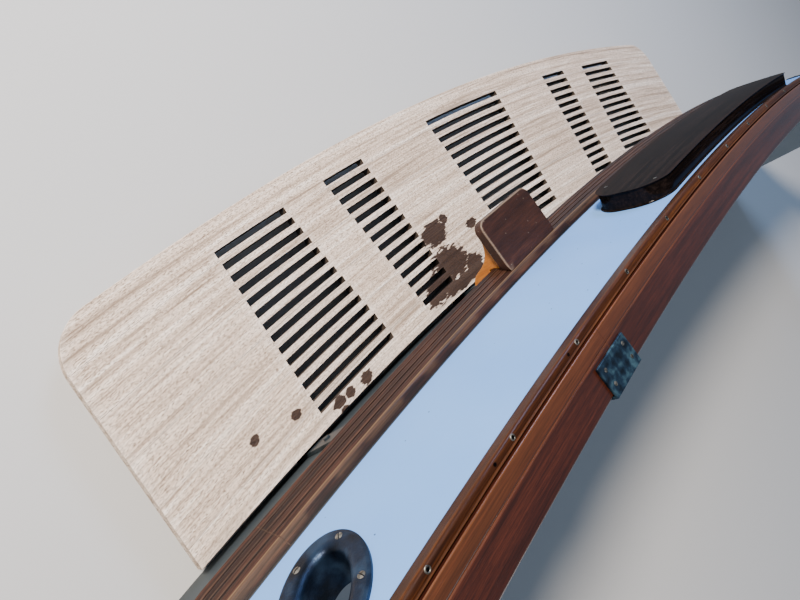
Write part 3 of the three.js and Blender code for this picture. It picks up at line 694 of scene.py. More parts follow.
RUB_ARRIS = (0.023, 1.027)
RUB_TOE = (0.051, 0.972)
RUB_BOTTOM = 0.955
RUB_JOINTS = (0.618, 1.767)
CAP_OUT, CAP_IN = -0.063, -0.191
STRIP_WIDTH, STRIP_TOP = 0.019, 1.351
BEAD_WIDTH, BEAD_RISE = 0.005, 0.004
# The rub rail's grooves, as shares of its slope, darkened inside with painted shade, and the rubbed crests on
# each side of them
RUB_GROOVES = np.array([0.25, 0.5, 0.75])
GROOVE_WIDTH, GROOVE_DEPTH, GROOVE_SHADE = 0.022, 0.003, 0.6
CREST_WIDTH, CREST_SHIFT, CREST_WEAR = 0.012, 0.055, 0.45
# The rub rail's top: steps from its arris, then points up to the bulwark, and the wear along them: a pale
# arris that is worn and partly a painted highlight, then darker towards the bulwark
RUB_ARRIS_STEPS = np.array([(0.0003, 0.001), (-0.0012, 0.0035), (-0.004, 0.006)])
RUB_TOP = ((0.0172, 1.0341), (0.009, 1.0368), (0.004, 1.0386), (SEAT, KNUCKLE_Z))
RUB_TOP_WEAR_AND_HIGHLIGHT = (0.7, 1.5, 0.5, 0.25, 0.25, 0.2, -0.2, -0.9)
# The rub rail's back corner: its distance in from the toe and up from the bottom, and the wear up to the toe,
# which starts as painted shade under the rail's back
RUB_BACK, RUB_BACK_WEAR_AND_SHADE = (0.006, 0.003), (-0.5, 0, 0.5)
# Radii of the cap rail's edges: under it, and along the strip, the board and the board's inner side
UNDER_EDGE, STRIP_EDGE, BOARD_OUTER_EDGE, BOARD_INNER_EDGE = 0.001, 0.008, 0.0025, 0.006
# The strip's bead: the hollow before it, the painted highlight on its crown and the painted shade beside it,
# and the painted shade below the strip
BEAD_HOLLOW, BEAD_HIGHLIGHT, BEAD_HOLLOW_SHADE = 0.0015, 0.6, 0.4
UNDER_SHADE, UNDER_HEIGHT = -0.5, 0.003
# Wear of the wide board: depth, width and strength at its outer arris and its inner lip, and at the groove
ARRIS_DEPTH, ARRIS_WIDTH, ARRIS_WEAR = 0.0022, 0.003, 0.6
LIP_DEPTH, LIP_WIDTH, LIP_WEAR = 0.0055, 0.006, 0.15
CAP_GROOVE_WEAR = 0.35
# Along its hollow line: the wear that fades inwards, and a painted highlight in the hollow, as a bell curve's
# strength and width over it
FADE_FROM, FADE_TO = 0.25, 0.02
DIP_HIGHLIGHT, DIP_HIGHLIGHT_WIDTH = 0.25, 0.6
DIP_HALF, DIP_DEPTH = 0.003, 0.0016
CAP_GROOVE = 0.002
CAP_TOP = 1.36
CAP_LINE = 0.054
STRIP_JOINTS = (0.7,)
BOARD_JOINTS = (1.195,)
RUB_NAMES = ("quarter_port", "port", "centre", "starboard", "quarter_starboard")
CAP_NAMES = ("port", "centre", "starboard")
JOINT_EDGE = 0.0016
JOINT_WEAR = 0.22
STAIN_SHORT, STAIN_LONG, STAIN_DARK = 31, 11.3, 0.8


def hull_aft(height, x=0.0):
    """Distance aft of the hull's raked face at a height below the knuckle."""
    return FOOT_AFT * (1 - height / (KNUCKLE_Z - sag(CROWN_RADIUS, x)))


def bell(share, middles, width):
    """Bell curves of this width at several middles, added up."""
    return sum(np.exp(-((share - middle) / width) ** 2) for middle in middles)


def rub_section():
    """The rub rail's outline and its wear: a thin-varnished top that darkens towards the bulwark, a bright
    arris that is worn and partly a painted highlight, painted shade under its back, and a sloping face that
    dips into three narrow grooves, each a bell curve with painted shade in it and a rubbed line on each side."""
    share = np.linspace(0, 1, 81)[1:-1]
    toe, arris = np.array(RUB_TOE), np.array(RUB_ARRIS)
    run = arris - toe
    outward = unit(np.array([run[1], -run[0]]))
    groove = bell(share, RUB_GROOVES, GROOVE_WIDTH)
    crest = bell(share, RUB_GROOVES - CREST_SHIFT, CREST_WIDTH)
    crest = crest + 0.5 * bell(share, RUB_GROOVES + CREST_SHIFT, CREST_WIDTH)
    slope = toe + run * share[:, None] - outward * (GROOVE_DEPTH * groove)[:, None]
    back = [(hull_aft(RUB_BOTTOM) + SEAT, RUB_BOTTOM), (RUB_TOE[0] - RUB_BACK[0], RUB_BOTTOM + RUB_BACK[1])]
    section = np.concatenate([back, [toe], slope, [arris], arris + RUB_ARRIS_STEPS, RUB_TOP])
    # Painted shade in the grooves and under the back, and a painted highlight on the arris
    wear = np.concatenate([RUB_BACK_WEAR_AND_SHADE, CREST_WEAR * crest - GROOVE_SHADE * groove, RUB_TOP_WEAR_AND_HIGHLIGHT])
    return section, wear


def strip_section():
    """The cap rail's outer strip: rounded outer arris, flat top and a small rounded bead along its inner
    edge, with painted shade in the hollow before the bead and under the strip, and a painted highlight on
    the bead's crown."""
    base, inner = WALL_TOP + SEAT, CAP_OUT - STRIP_WIDTH
    bead = BEAD_WIDTH / 2
    turn = np.linspace(0, math.pi, 9)
    crown = gridded(inner + bead + bead * np.cos(turn), STRIP_TOP + BEAD_RISE * np.sin(turn))
    shoulder = rounded([(inner, base, 0), (CAP_OUT, base, UNDER_EDGE), (CAP_OUT, STRIP_TOP, STRIP_EDGE),
                        (inner + BEAD_WIDTH + BEAD_HOLLOW, STRIP_TOP, 0)], 5)
    section = np.concatenate([shoulder, crown])
    shoulder_wear = np.where(shoulder[:, 1] < base + UNDER_HEIGHT, UNDER_SHADE, 0.0)
    # A painted highlight on the bead's crown, and painted shade beside it and under the strip
    wear = np.concatenate([shoulder_wear, BEAD_HIGHLIGHT * np.sin(turn) - BEAD_HOLLOW_SHADE])
    return section, wear


def cap_section():
    """The cap rail's wide board: rounded edges, and a soft hollow line along its top whose depth is a bell
    curve. The varnish is thin at the groove and fades into the dark board past the line, and a painted
    highlight lies in the hollow."""
    base = WALL_TOP + SEAT
    outer, line = CAP_OUT - STRIP_WIDTH - CAP_GROOVE, CAP_OUT - CAP_LINE
    across = np.linspace(-2, 2, 17)
    dip = gridded(line - across * DIP_HALF, CAP_TOP - DIP_DEPTH * bell(across, (0,), 0.8))
    first = rounded([(CAP_IN, base, UNDER_EDGE), (outer, base, 0), (outer, CAP_TOP, BOARD_OUTER_EDGE),
                     (outer - 0.004, CAP_TOP, 0)])
    last = rounded([(CAP_IN + 0.01, CAP_TOP, 0), (CAP_IN, CAP_TOP, BOARD_INNER_EDGE),
                    (CAP_IN, base + 0.002, 0)])
    section = np.concatenate([first, dip, last])
    arris = (section[:, 1] > CAP_TOP - ARRIS_DEPTH) & (section[:, 0] > outer - ARRIS_WIDTH)
    lip = (section[:, 1] > CAP_TOP - LIP_DEPTH) & (section[:, 0] < CAP_IN + LIP_WIDTH)
    wear = ARRIS_WEAR * arris + LIP_WEAR * lip
    wear[len(first) - 1] = CAP_GROOVE_WEAR
    fading = np.linspace(FADE_FROM, FADE_TO, len(dip))
    # The fading wear, with a painted highlight in the hollow line
    wear[len(first):len(first) + len(dip)] = fading + DIP_HIGHLIGHT * bell(across, (0,), DIP_HIGHLIGHT_WIDTH)
    return section, wear


def rail_runs(joints, names):
    """Each length's name and its arc lengths, from port to starboard, with a hair's gap at the joints."""
    cuts = [-RUN_END, *[-arc_at(x) for x in reversed(joints)], *[arc_at(x) for x in joints], RUN_END]
    for name, low, high in zip(names, cuts, cuts[1:]):
        bends = [bend for bend in BENDS if low < bend < high]
        start = low + (SEAT / 2 if low > -RUN_END else 0)
        end = high - (SEAT / 2 if high < RUN_END else 0)
        run = spaced([start + JOINT_EDGE, *bends, end - JOINT_EDGE], STATION)
        yield name, np.concatenate([[start, start + JOINT_EDGE / 2], run, [end - JOINT_EDGE / 2, end]])


def add_rail(prefix, node_prefix, joints, names, profile, material, stained=1):
    """One rail as its lengths, whose ends at a joint are worn for half the joint's edge. The section's last
    lines are stained in patches, where the product of two sines along the rail is positive."""
    section, section_wear = profile
    for name, us in rail_runs(joints, names):
        flat, faces = swept(us, section)
        wear = np.tile(section_wear, (len(us), 1))
        stain = np.sin(STAIN_SHORT * us) * np.sin(STAIN_LONG * us + 1)
        wear[:, -stained:] -= STAIN_DARK * np.clip(stain, 0, 1)[:, None]
        if us[0] > -RUN_END:
            wear[:2] = JOINT_WEAR
        if us[-1] < RUN_END:
            wear[-2:] = JOINT_WEAR
        make_piece(f"{prefix}_{name}", flat, faces, along_stern, material,
                   [f"{node_prefix}_{name}"], wear.ravel(), sharp=28)


def add_rails():
    """The rub rail, and the cap rail's outer strip and wide board."""
    add_rail("rub_moulding", "rub_rail", RUB_JOINTS, RUB_NAMES, rub_section(), RAIL_VARNISH, stained=4)
    add_rail("cap_moulding", "cap_strip", STRIP_JOINTS, CAP_NAMES, strip_section(), STRIP_VARNISH)
    add_rail("cap_plank", "cap_board", BOARD_JOINTS, CAP_NAMES, cap_section(), CAP_VARNISH)


# Sealant: a bead where the rub rail meets the bulwark, and one under the cap rail, each with its middle's
# distance aft and height

SEALANT_BEADS = (("lower", -0.0008, KNUCKLE_Z + 0.0022), ("upper", TOP_AFT + 0.0022, WALL_TOP - 0.0022))
SEALANT_HALVES = (0.0020, 0.0018)


def add_sealant():
    """Each bead is an oval section carried along the whole stern."""
    turn = np.linspace(0, 2 * math.pi, 9)[:-1]
    us = spaced([-RUN_END, *BENDS, RUN_END], STATION)
    for name, aft, height in SEALANT_BEADS:
        section = gridded(aft + SEALANT_HALVES[0] * np.cos(turn), height + SEALANT_HALVES[1] * np.sin(turn))
        flat, faces = swept(us, section)
        make_piece(f"sealant_{name}", flat, faces, along_stern, SEALANT, sharp=60)


# Name board

BOARD_PORT, BOARD_STARBOARD = arc_at(-0.905), arc_at(0.59)
BOARD_LOW = (1.08 - KNUCKLE_Z) / math.cos(LEAN)
BOARD_HIGH = (1.297 - KNUCKLE_Z) / math.cos(LEAN)
BOARD_THICK = 0.052
BOARD_END = 0.095
BOARD_EDGE = 0.006
BOARD_WEAR = 0.35


def add_name_board():
    """A long board with round-cornered ends: at each arc length the upper and lower edges draw in along a
    quarter circle, and lines between them fill the face."""
    radius = BOARD_END - BOARD_EDGE
    low, high = BOARD_LOW + BOARD_EDGE, BOARD_HIGH - BOARD_EDGE
    turn = np.linspace(0, math.pi / 2, 13)
    draw_in = radius * (1 - np.sin(turn))
    along = radius * (1 - np.cos(turn))
    first, last = BOARD_PORT + BOARD_EDGE, BOARD_STARBOARD - BOARD_EDGE
    middle = spaced([first + radius, last - radius], STATION)[1:-1]
    us = np.concatenate([first + along, middle, last - along[::-1]])
    inset = np.concatenate([draw_in, np.zeros(len(middle)), draw_in[::-1]])
    share = np.linspace(0, 1, 9)
    up = (low + inset)[:, None] * (1 - share) + (high - inset)[:, None] * share
    grid = gridded(us[:, None], up)
    flat, faces, wear = plate(grid, grid_quads(*up.shape), 2 * SEAT, BOARD_THICK, BOARD_EDGE)
    make_piece("nameboard_plank", flat, faces, along_face, BOARD_VARNISH, ["name_board"],
               BOARD_WEAR * wear, sharp=50)


# Boarding step

STEP_X = 0.793
STEP_HALF = 0.124
STEP_REACH = 0.174
STEP_THICK = 0.028
STEP_CORNER = 0.028
STEP_SEAT = 0.0008
STEP_EDGE = 0.004
SEAT_EDGE = 0.0005
STEP_BLEND = 0.03
# Breadth of the rubbed edges, aft and at the side, and the wear there and elsewhere
RUBBED_AFT, RUBBED_SIDE = 0.012, 0.008
RUBBED_WEAR, STEP_DIRT = 0.6, -0.4
# A row this far from the board's aft edge and a column at this share of its half keep the face flat there
LAST_ROW, LAST_COLUMN = 0.002, 0.975
KNEE_THICK = 0.028
KNEE_INSET = 0.012
KNEE_LIP = 0.003
KNEE_HOLLOW = ((0.112, 0.994), (0.076, 0.975))
KNEE_WAIST = (0.060, 0.920)
KNEE_SWELL = (0.049, 0.881)
KNEE_FOOT = (0.022, 0.877)
KNEE_HEEL_Z = 0.873
KNEE_NOTCH_Z = RUB_BOTTOM - 0.0015
KNEE_EDGE = 0.001
KNEE_WEAR = 0.4
# Columns of a knee's grid behind the rail, and the share of the way to the ogee where they end below it
KNEE_BEHIND, KNEE_SPLIT = 3, 0.45
STEP_UNDER = RUB_ARRIS[1] - STEP_THICK


def rub_face_aft(height):
    """Distance aft of the rub rail's sloping face at a height, plus the step's seat."""
    share = (RUB_ARRIS[1] - height) / (RUB_ARRIS[1] - RUB_TOE[1])
    return RUB_ARRIS[0] + (RUB_TOE[0] - RUB_ARRIS[0]) * share + STEP_SEAT


def add_step_board():
    """The board's face is a grid whose rows draw in round its outer corners. Its inner edge is square and
    follows the rub rail's slope downwards; the aft and starboard edges are rubbed pale."""
    top = RUB_ARRIS[1]
    radius = STEP_CORNER - STEP_EDGE
    turn = np.linspace(0, math.pi / 2, 9)
    back = rub_face_aft(top)
    straight = np.linspace(back + SEAT_EDGE, STEP_REACH - STEP_CORNER, 8)[:-1]
    afts = np.concatenate([straight, STEP_REACH - STEP_CORNER + radius * np.sin(turn)])
    halves = np.concatenate([np.full(len(straight), STEP_HALF - STEP_EDGE),
                             STEP_HALF - STEP_CORNER + radius * np.cos(turn)])
    afts = np.insert(afts, -1, afts[-1] - LAST_ROW)
    halves = np.insert(halves, -1, halves[-2] * 0.4 + halves[-1] * 0.6)
    share = np.concatenate([[-1], np.linspace(-LAST_COLUMN, LAST_COLUMN, 12), [1]])
    across = halves[:, None] * share
    edge = np.full(across.shape, STEP_EDGE)
    edge[0] = SEAT_EDGE
    grid = gridded(across, afts[:, None])
    flat, faces, wear = plate(grid, grid_quads(*across.shape), STEP_UNDER, top, edge.ravel())
    near_rail = np.clip(1 - (flat[:, 1] - back) / STEP_BLEND, 0, 1)
    flat[:, 1] += near_rail * (rub_face_aft(flat[:, 2]) - back)
    rubbed = (flat[:, 1] > STEP_REACH - RUBBED_AFT) | (flat[:, 0] > STEP_HALF - RUBBED_SIDE)
    make_piece("step_plank", flat, faces, at_station(STEP_X, True), STEP_VARNISH,
               ["step_board"], wear * np.where(rubbed, RUBBED_WEAR, STEP_DIRT))


def bezier(control, count):
    """Points of a Bezier curve of any degree at even steps of its share."""
    degree = len(control) - 1
    share = np.linspace(0, 1, count)[:, None]
    weights = [math.comb(degree, k) * (1 - share) ** (degree - k) * share ** k for k in range(degree + 1)]
    return sum(weight * np.array(point) for weight, point in zip(weights, control))


def resampled(line, count):
    """A polyline's points at even steps along its length."""
    line = np.array(line)
    length = np.concatenate([[0], np.cumsum(np.linalg.norm(np.diff(line, axis=0), axis=1))])
    even = np.linspace(0, length[-1], count)
    return np.stack([np.interp(even, length, line[:, k]) for k in (0, 1)], 1)


def add_knees():
    """Each knee's face is a grid of lines from its back to its ogee, a hollow curve and then a swell. Above
    the notch the lines start at the rail, and below it they go on to the hull through more columns."""
    knee_top = STEP_UNDER - SEAT
    knee_back = RUB_TOE[0] + STEP_SEAT
    knee_front = STEP_REACH - KNEE_INSET
    hollow = bezier(((knee_front, knee_top - KNEE_LIP), *KNEE_HOLLOW, KNEE_WAIST), 21)
    swell = bezier((KNEE_WAIST, KNEE_SWELL, KNEE_FOOT), 10)
    ogee = np.concatenate([[(knee_front, knee_top)], hollow, swell[1:]])
    upper, lower = ogee[ogee[:, 1] >= KNEE_NOTCH_Z], ogee[ogee[:, 1] < KNEE_NOTCH_Z]
    rail = resampled([(rub_face_aft(knee_top), knee_top), (knee_back, RUB_TOE[1]), (knee_back, KNEE_NOTCH_Z)],
                     len(upper))
    hull = resampled([(hull_aft(z) + STEP_SEAT, z) for z in (KNEE_NOTCH_Z, KNEE_HEEL_Z)], len(lower) + 1)
    start = np.concatenate([np.tile(hull[0], (len(upper), 1)), hull[1:]])
    inner = np.concatenate([rail, hull[1:] + (lower - hull[1:]) * KNEE_SPLIT])
    behind, before = np.linspace(0, 1, KNEE_BEHIND + 1)[:-1, None], np.linspace(0, 1, 7)[:, None]
    grid = np.stack([np.concatenate([a + (b - a) * behind, b + (c - b) * before])
                     for a, b, c in zip(start, inner, ogee)])
    rows, columns = grid.shape[:2]
    keep = np.ones((rows - 1, columns - 1), bool)
    keep[:len(upper) - 1, :KNEE_BEHIND] = False
    quads = grid_quads(rows, columns, keep)[:, ::-1]
    for side, name in ((1, "outboard"), (-1, "inboard")):
        middle = side * (STEP_HALF - KNEE_INSET - KNEE_THICK / 2)
        flat, faces, wear = plate(grid.reshape(-1, 2), quads, -KNEE_THICK / 2, KNEE_THICK / 2, KNEE_EDGE, 2)
        turned = np.stack([flat[:, 2] + middle, flat[:, 0], flat[:, 1]], 1)
        make_piece(f"knee_{name}", turned, faces, at_station(STEP_X, True), KNEE_VARNISH,
                   [f"step_knee_{name}"], wear * KNEE_WEAR, grain=(2, 1, 0))


# Swim platform

PLANK_LOW, PLANK_TOP = 0.465, 0.5
PLATFORM_HALF = 1.792
EDGE_Y, EDGE_RADIUS = -0.777, 9.25
INNER_Y = KNUCKLE_Y + 0.031
INNER_RADIUS = STERN_RADIUS - 0.031
PLATFORM_CORNER = 0.135
FIRST_PLANK, PLANK_WIDTH, PLANK_COUNT = 0.11, 0.12, 6
SLOT_WIDTH, SLOT_ROWS = 0.02, 14
SLOTS_END = 1.4
PLANK_EDGE = 0.0012
# Pale rims of the planks, worn and partly a painted highlight on the rounding, and the darkening below
# them in seams and slots, painted shade with some dirt
RIM_WEAR_AND_HIGHLIGHT, SEAM_SHADE_AND_DIRT = 0.5, -0.9
# Lines between two breaks where the first plank rounds the platform's corner, and on the two outer planks
CORNER_LINES, OUTER_LINES = 10, 3

# Slot columns as x of their ends and y, at the first row near the outer edge and at the last near the hull
MIDDLE_SLOTS = ((0.255, -0.687), (0.208, -0.167))
SIDE_SLOTS = (((0.648, -0.660), (0.598, -0.153)), ((0.848, -0.644), (0.774, -0.139)),
              ((1.033, -0.623), (0.954, -0.122)), ((1.315, -0.591), (1.318, -0.076)))


def along_platform(flat):
    """Flat (x, inset, height) to the frame: inset is measured forward from the platform's curved outer edge.
    Each plank's height starts a whole metre above the last one's, so that no two share a grain."""
    return np.stack([flat[:, 0], EDGE_Y + sag(EDGE_RADIUS, flat[:, 0]) + flat[:, 1], flat[:, 2] % 1.0], 1)


def corner_table():
    """The platform's end as half-breadths against the distance in from its outer edge: round the corner's
    arc, then straight."""
    reach = EDGE_RADIUS - PLATFORM_CORNER
    centre_x = PLATFORM_HALF - PLATFORM_CORNER
    rise = math.sqrt(reach ** 2 - centre_x ** 2)
    centre_y = EDGE_Y + EDGE_RADIUS - rise
    turn = np.linspace(math.atan2(centre_x, rise), math.pi / 2, 200)
    radius = PLATFORM_CORNER - PLANK_EDGE
    x = centre_x + radius * np.sin(turn)
    y = centre_y - radius * np.cos(turn)
    inset = y - EDGE_Y - sag(EDGE_RADIUS, x)
    return np.append(inset, 1.0), np.append(x, x[-1])


CORNER_INSET, CORNER_X = corner_table()


def column_breaks(row):
    """Half-breadths of the slot columns' ends at rows, and the slots' distances in from the outer edge."""
    share = np.clip(row / (SLOT_ROWS - 1), -0.1, 1.1)[:, None]
    ends = np.array([MIDDLE_SLOTS, *SIDE_SLOTS])
    x = ends[:, 0, 0] * (1 - share) + ends[:, 1, 0] * share
    y = ends[:, 0, 1] * (1 - share) + ends[:, 1, 1] * share
    return x, y - EDGE_Y - sag(EDGE_RADIUS, x)


def plank_grid(plank):
    """The plank's face as lines of points, from its outer side inwards: its two sides, and two lines for each
    row of slots, with finer ones round the platform's corner. The columns' ends are breaks in each line.
    Gives the breaks' x and inset, and whether slots open between a line and the next."""
    first = 0 if plank == 0 else 3 * plank - 2
    rows = np.arange(first, min(3 * plank, SLOT_ROWS - 1) + 1)
    seam = FIRST_PLANK + (plank - 1) * PLANK_WIDTH
    low = PLANK_EDGE if plank == 0 else seam + SEAT / 2 + PLANK_EDGE
    high = seam + PLANK_WIDTH - SEAT / 2 - PLANK_EDGE
    half = SLOT_WIDTH / 2 + PLANK_EDGE
    row_x, row_inset = column_breaks(rows.astype(float))
    edge_x, _ = column_breaks(np.array([rows[0] - 0.5, rows[-1] + 0.5]))
    slot_sides = np.stack([row_inset - half, row_inset + half], 1).reshape(-1, row_x.shape[1])
    x = np.concatenate([edge_x[:1], np.repeat(row_x, 2, 0), edge_x[1:]])
    inset = np.concatenate([np.full_like(edge_x[:1], low), slot_sides, np.full_like(edge_x[:1], high)])
    lines = np.stack([np.concatenate([-x[:, ::-1], x], 1), np.concatenate([inset[:, ::-1], inset], 1)])
    fine, opens = [], []
    for i in range(len(x) - 1):
        at_corner = plank == 0 and i == 0
        parts = CORNER_LINES if at_corner else OUTER_LINES if plank < 2 else 1
        for share in (np.arange(parts) / parts) ** (2 if at_corner else 1):
            fine.append(lines[:, i] * (1 - share) + lines[:, i + 1] * share)
            opens.append(i % 2 == 1)
    fine_x, fine_inset = np.stack([*fine, lines[:, -1]], 1)
    return fine_x, fine_inset, np.array(opens)


# Cells of each stretch between breaks, from port to starboard, and the stretches that are slots
CELLS = (16, 10, 7, 7, 13, 20, 13, 7, 7, 10, 16)
SLOT_STRETCHES = (1, 3, 5, 7, 9)


def cut_evenly(breaks):
    """Values along each line: every stretch between two of its breaks is cut into its cells."""
    shares = [np.linspace(0, 1, cells + 1)[:-1] for cells in CELLS]
    parts = [breaks[:, [k]] * (1 - share) + breaks[:, [k + 1]] * share for k, share in enumerate(shares)]
    return np.concatenate([*parts, breaks[:, [-1]]], 1)


def add_planks():
    """Each plank is a plate with rounded rims round its outline and every slot. The last one's inner side
    follows the hull. Below the face, seams and slots are darkened with painted shade and some dirt, and
    the platform's outer edge is left light."""
    stretch_of = np.repeat(np.arange(len(CELLS)), CELLS)
    for plank in range(PLANK_COUNT):
        break_x, break_inset, opens = plank_grid(plank)
        end_inset = break_inset[:, [0]]
        end_x = np.interp(end_inset, CORNER_INSET, CORNER_X)
        x = cut_evenly(np.concatenate([-end_x, break_x, end_x], 1))
        inset = cut_evenly(np.concatenate([end_inset, break_inset, end_inset], 1))
        if plank == PLANK_COUNT - 1:
            hull_side = INNER_Y + sag(INNER_RADIUS, x[-1])
            inset[-1] = hull_side - EDGE_Y - sag(EDGE_RADIUS, x[-1]) - PLANK_EDGE
        keep = ~(opens[:, None] & np.isin(stretch_of, SLOT_STRETCHES)[None])
        quads = grid_quads(*x.shape, keep)
        flat, faces, wear = plate(gridded(x, inset), quads, PLANK_LOW, PLANK_TOP, PLANK_EDGE, steps=3)
        outer = (flat[:, 1] < PLANK_EDGE / 2) | (np.abs(flat[:, 0]) > SLOTS_END)
        below = flat[:, 2] < PLANK_TOP - PLANK_EDGE / 2
        # Seam sides and slot walls below the face take painted shade with some dirt; elsewhere the rims' wear
        # is partly a painted highlight
        wear = np.where(below & ~outer, SEAM_SHADE_AND_DIRT, RIM_WEAR_AND_HIGHLIGHT * wear)
        flat[:, 2] += plank
        make_piece(f"teak_plank_{plank + 1}", flat, faces, along_platform, BARE_TEAK,
                   [f"platform_plank_{plank + 1}"], wear)


# Hawse fairleads

FLANGE_HALF = 0.1195
FLANGE_THICK = 0.008
TRIM_THICK, TRIM_WIDTH, TRIM_GAP = 0.005, 0.020, 0.003
SKIN = WALL * math.cos(LEAN)
DISH = (0.018, 0.014)


def hawse_place(side):
    """A place function for flat (long axis, short axis, out) pieces on the bulwark's face at a hawse hole."""
    reach = HAWSE_HOLE[0]
    steps = np.array([(0, 0, 0), (-reach, 0, 0), (reach, 0, 0), (0, reach, 0)])
    middle, port, starboard, above = along_face(steps + (side * HAWSE_U, HAWSE_UP, 0))
    along = unit(starboard - port)
    out = unit(np.cross(along, above - middle))
    up = np.cross(out, along)
    cos, sin = math.cos(side * HAWSE_TILT), math.sin(side * HAWSE_TILT)
    axes = np.stack([cos * along + sin * up, cos * up - sin * along, out])
    return lambda flat: flat @ axes + middle


def ringed(profile, count=96):
    """Flat points and faces of a closed profile of (distance out from the hole's oval, height) carried round
    the oval, so that its rings stay a level distance from it."""
    turn = np.linspace(0, 2 * math.pi, count, endpoint=False)[:, None]
    distance, height = profile.T
    long_half, short_half = HAWSE_HOLE
    flat = gridded((long_half + distance) * np.cos(turn), (short_half + distance) * np.sin(turn), height)
    faces = ring_faces(count + 1, len(profile))
    return flat, [[number % len(flat) for number in face] for face in faces]


def add_hawses():
    """The fairlead's section is a thin outer rim, a rolled lip that dishes down into the sleeve, and the way
    back. The inner ring's is a flat strip with rounded arrises."""
    seat = 2 * SEAT
    high = seat + FLANGE_THICK
    width = FLANGE_HALF - HAWSE_HOLE[0]
    end = -SKIN - TRIM_GAP - TRIM_THICK
    turn = np.linspace(0, math.pi / 2, 9)
    rim = rounded([(width, seat, 0), (width, high - 0.002, 0.0015), (width - 0.006, high, 0.01),
                   (DISH[0], high, 0)])[:-1]
    dish = gridded(DISH[0] * (1 - np.sin(turn)), high - DISH[1] * (1 - np.cos(turn)))
    sleeve = [(0, end + 0.002), (0.002, end), (SLEEVE, end + 0.001), (SLEEVE, seat)]
    profile = np.concatenate([rim, dish, sleeve])
    trim_in = SLEEVE + SEAT
    trim = rounded([(trim_in, end, 0.001), (trim_in + TRIM_WIDTH, end, 0.002),
                    (trim_in + TRIM_WIDTH, end + TRIM_THICK, 0), (trim_in, end + TRIM_THICK, 0)])
    pieces = (("hawse_casting", "hawse_fairlead", profile), ("hawse_ring", "hawse_trim", trim))
    for side, name in SIDES:
        for piece, node, outline in pieces:
            flat, faces = ringed(outline)
            make_piece(f"{piece}_{name}", flat, faces, hawse_place(side), BRONZE,
                       [f"{node}_{name}"], sharp=35)


# Fastenings

HAWSE_SCREW_TURNS = np.radians([16, 88, 160, 232, 304])
HAWSE_SCREW_HALVES = (0.104, 0.068)
CAP_SCREWS = (0.0, 0.232, 0.487, 0.742, 0.997, 1.252, 1.507, 1.762, 2.020, 2.270)
CAP_SCREW_AFT = -0.0712
# Screw holes left empty on the starboard side of the cap rail's strip
CAP_EMPTY_HOLES = (1.290, 1.567)
BOARD_SCREWS = ((0.526, 0.226), (0.498, 0.074), (-0.841, 0.226), (-0.813, 0.074))
PLATE_SCREWS = ((-0.042, 0.016), (0.042, 0.016), (-0.042, 0.048), (0.042, 0.048))
BRACKET_PLACES = (0.540, 1.390)
PAD_THICK = 0.012
BOLT_HEIGHTS = (0.12, 0.26, 0.34, 0.58, 0.70)
ANGLE_THICK = 0.006

# Sizes of the heads: radius, rise, and the slot's width where there is one
SMALL_SCREW, LARGE_SCREW = (0.0048, 0.0009, 0.0014), (0.0070, 0.0014, 0.0020)
CUP_WASHER, EMPTY_HOLE, BOLT_HEAD = (0.0062, 0.0013), (0.0036, 0.0004), (0.010, 0.007)
HEAD_SIDES, SLOT_POINTS = 16, 9
HEAD_FOOT, HEAD_LIFT, SLOT_DEPTH = -0.0005, 0.0003, 0.9
# Turn from one head to the next, in radians, so that no two slots look lined up
GOLDEN_ANGLE = 2.4


def slotted_head(radius, rise, slot):
    """A domed screw head from lines across its slot, each as long as the disc is there. Its height is a
    paraboloid's, less the slot's depth between the slot's sides. Gives points, faces and the wear, which
    paints shade in the slot."""
    half = slot / 2
    side = np.array([0.3, 0.55, 0.78, 0.92, 0.985]) * radius
    across = np.concatenate([-side[::-1], [-half - 1e-4, -half, half, half + 1e-4], side])
    deep = np.abs(across) <= half
    along = np.sqrt(radius ** 2 - across ** 2)[:, None] * np.linspace(-1, 1, SLOT_POINTS)
    across = across[:, None]
    dome = rise * (1 - (across ** 2 + along ** 2) / radius ** 2) - SLOT_DEPTH * rise * deep[:, None]
    points = np.concatenate([gridded(across, along, height) for height in (dome + HEAD_LIFT, HEAD_FOOT)])
    faces = np.concatenate(two_skins(*along.shape)).tolist()
    # The slot's wear is painted shade
    return points, faces, np.tile(-0.8 * np.repeat(deep, SLOT_POINTS), 2)


def cupped_head(radius, rise):
    """A screw in a cup washer: a domed ring, turned from a short profile, round a recess darkened as painted
    shade. Gives points, faces and the wear, which paints the shade in the recess."""
    profile = np.array([(1.0, -0.5), (1.0, 0.35), (0.84, 0.9), (0.68, 1.0), (0.54, 0.7), (0.46, 0.2),
                        (0.2, 0.1)])
    turn = np.linspace(0, 2 * math.pi, HEAD_SIDES, endpoint=False)
    out = radius * profile[:, [0]]
    points = gridded(out * np.cos(turn), out * np.sin(turn), rise * profile[:, [1]])
    numbers = list(range(len(points)))
    faces = ring_faces(len(profile), HEAD_SIDES) + [numbers[:HEAD_SIDES][::-1], numbers[-HEAD_SIDES:]]
    # The recess is darkened with painted shade
    return points, faces, np.repeat([0, 0, 0, 0, -0.4, -1, -1], HEAD_SIDES)


def hexagon_head(radius, rise):
    """A bolt head: a hexagon with a chamfered top. Gives points, faces and no wear."""
    turn = np.linspace(0, 2 * math.pi, 6, endpoint=False)
    share, height = np.array([(0.86, rise), (1.0, rise * 0.8), (1.0, HEAD_FOOT)]).T[:, :, None]
    points = gridded(np.cos(turn) * radius * share, np.sin(turn) * radius * share, height)
    return points, ring_faces(3, 6) + [list(range(6))[::-1], list(range(12, 18))], np.zeros(18)


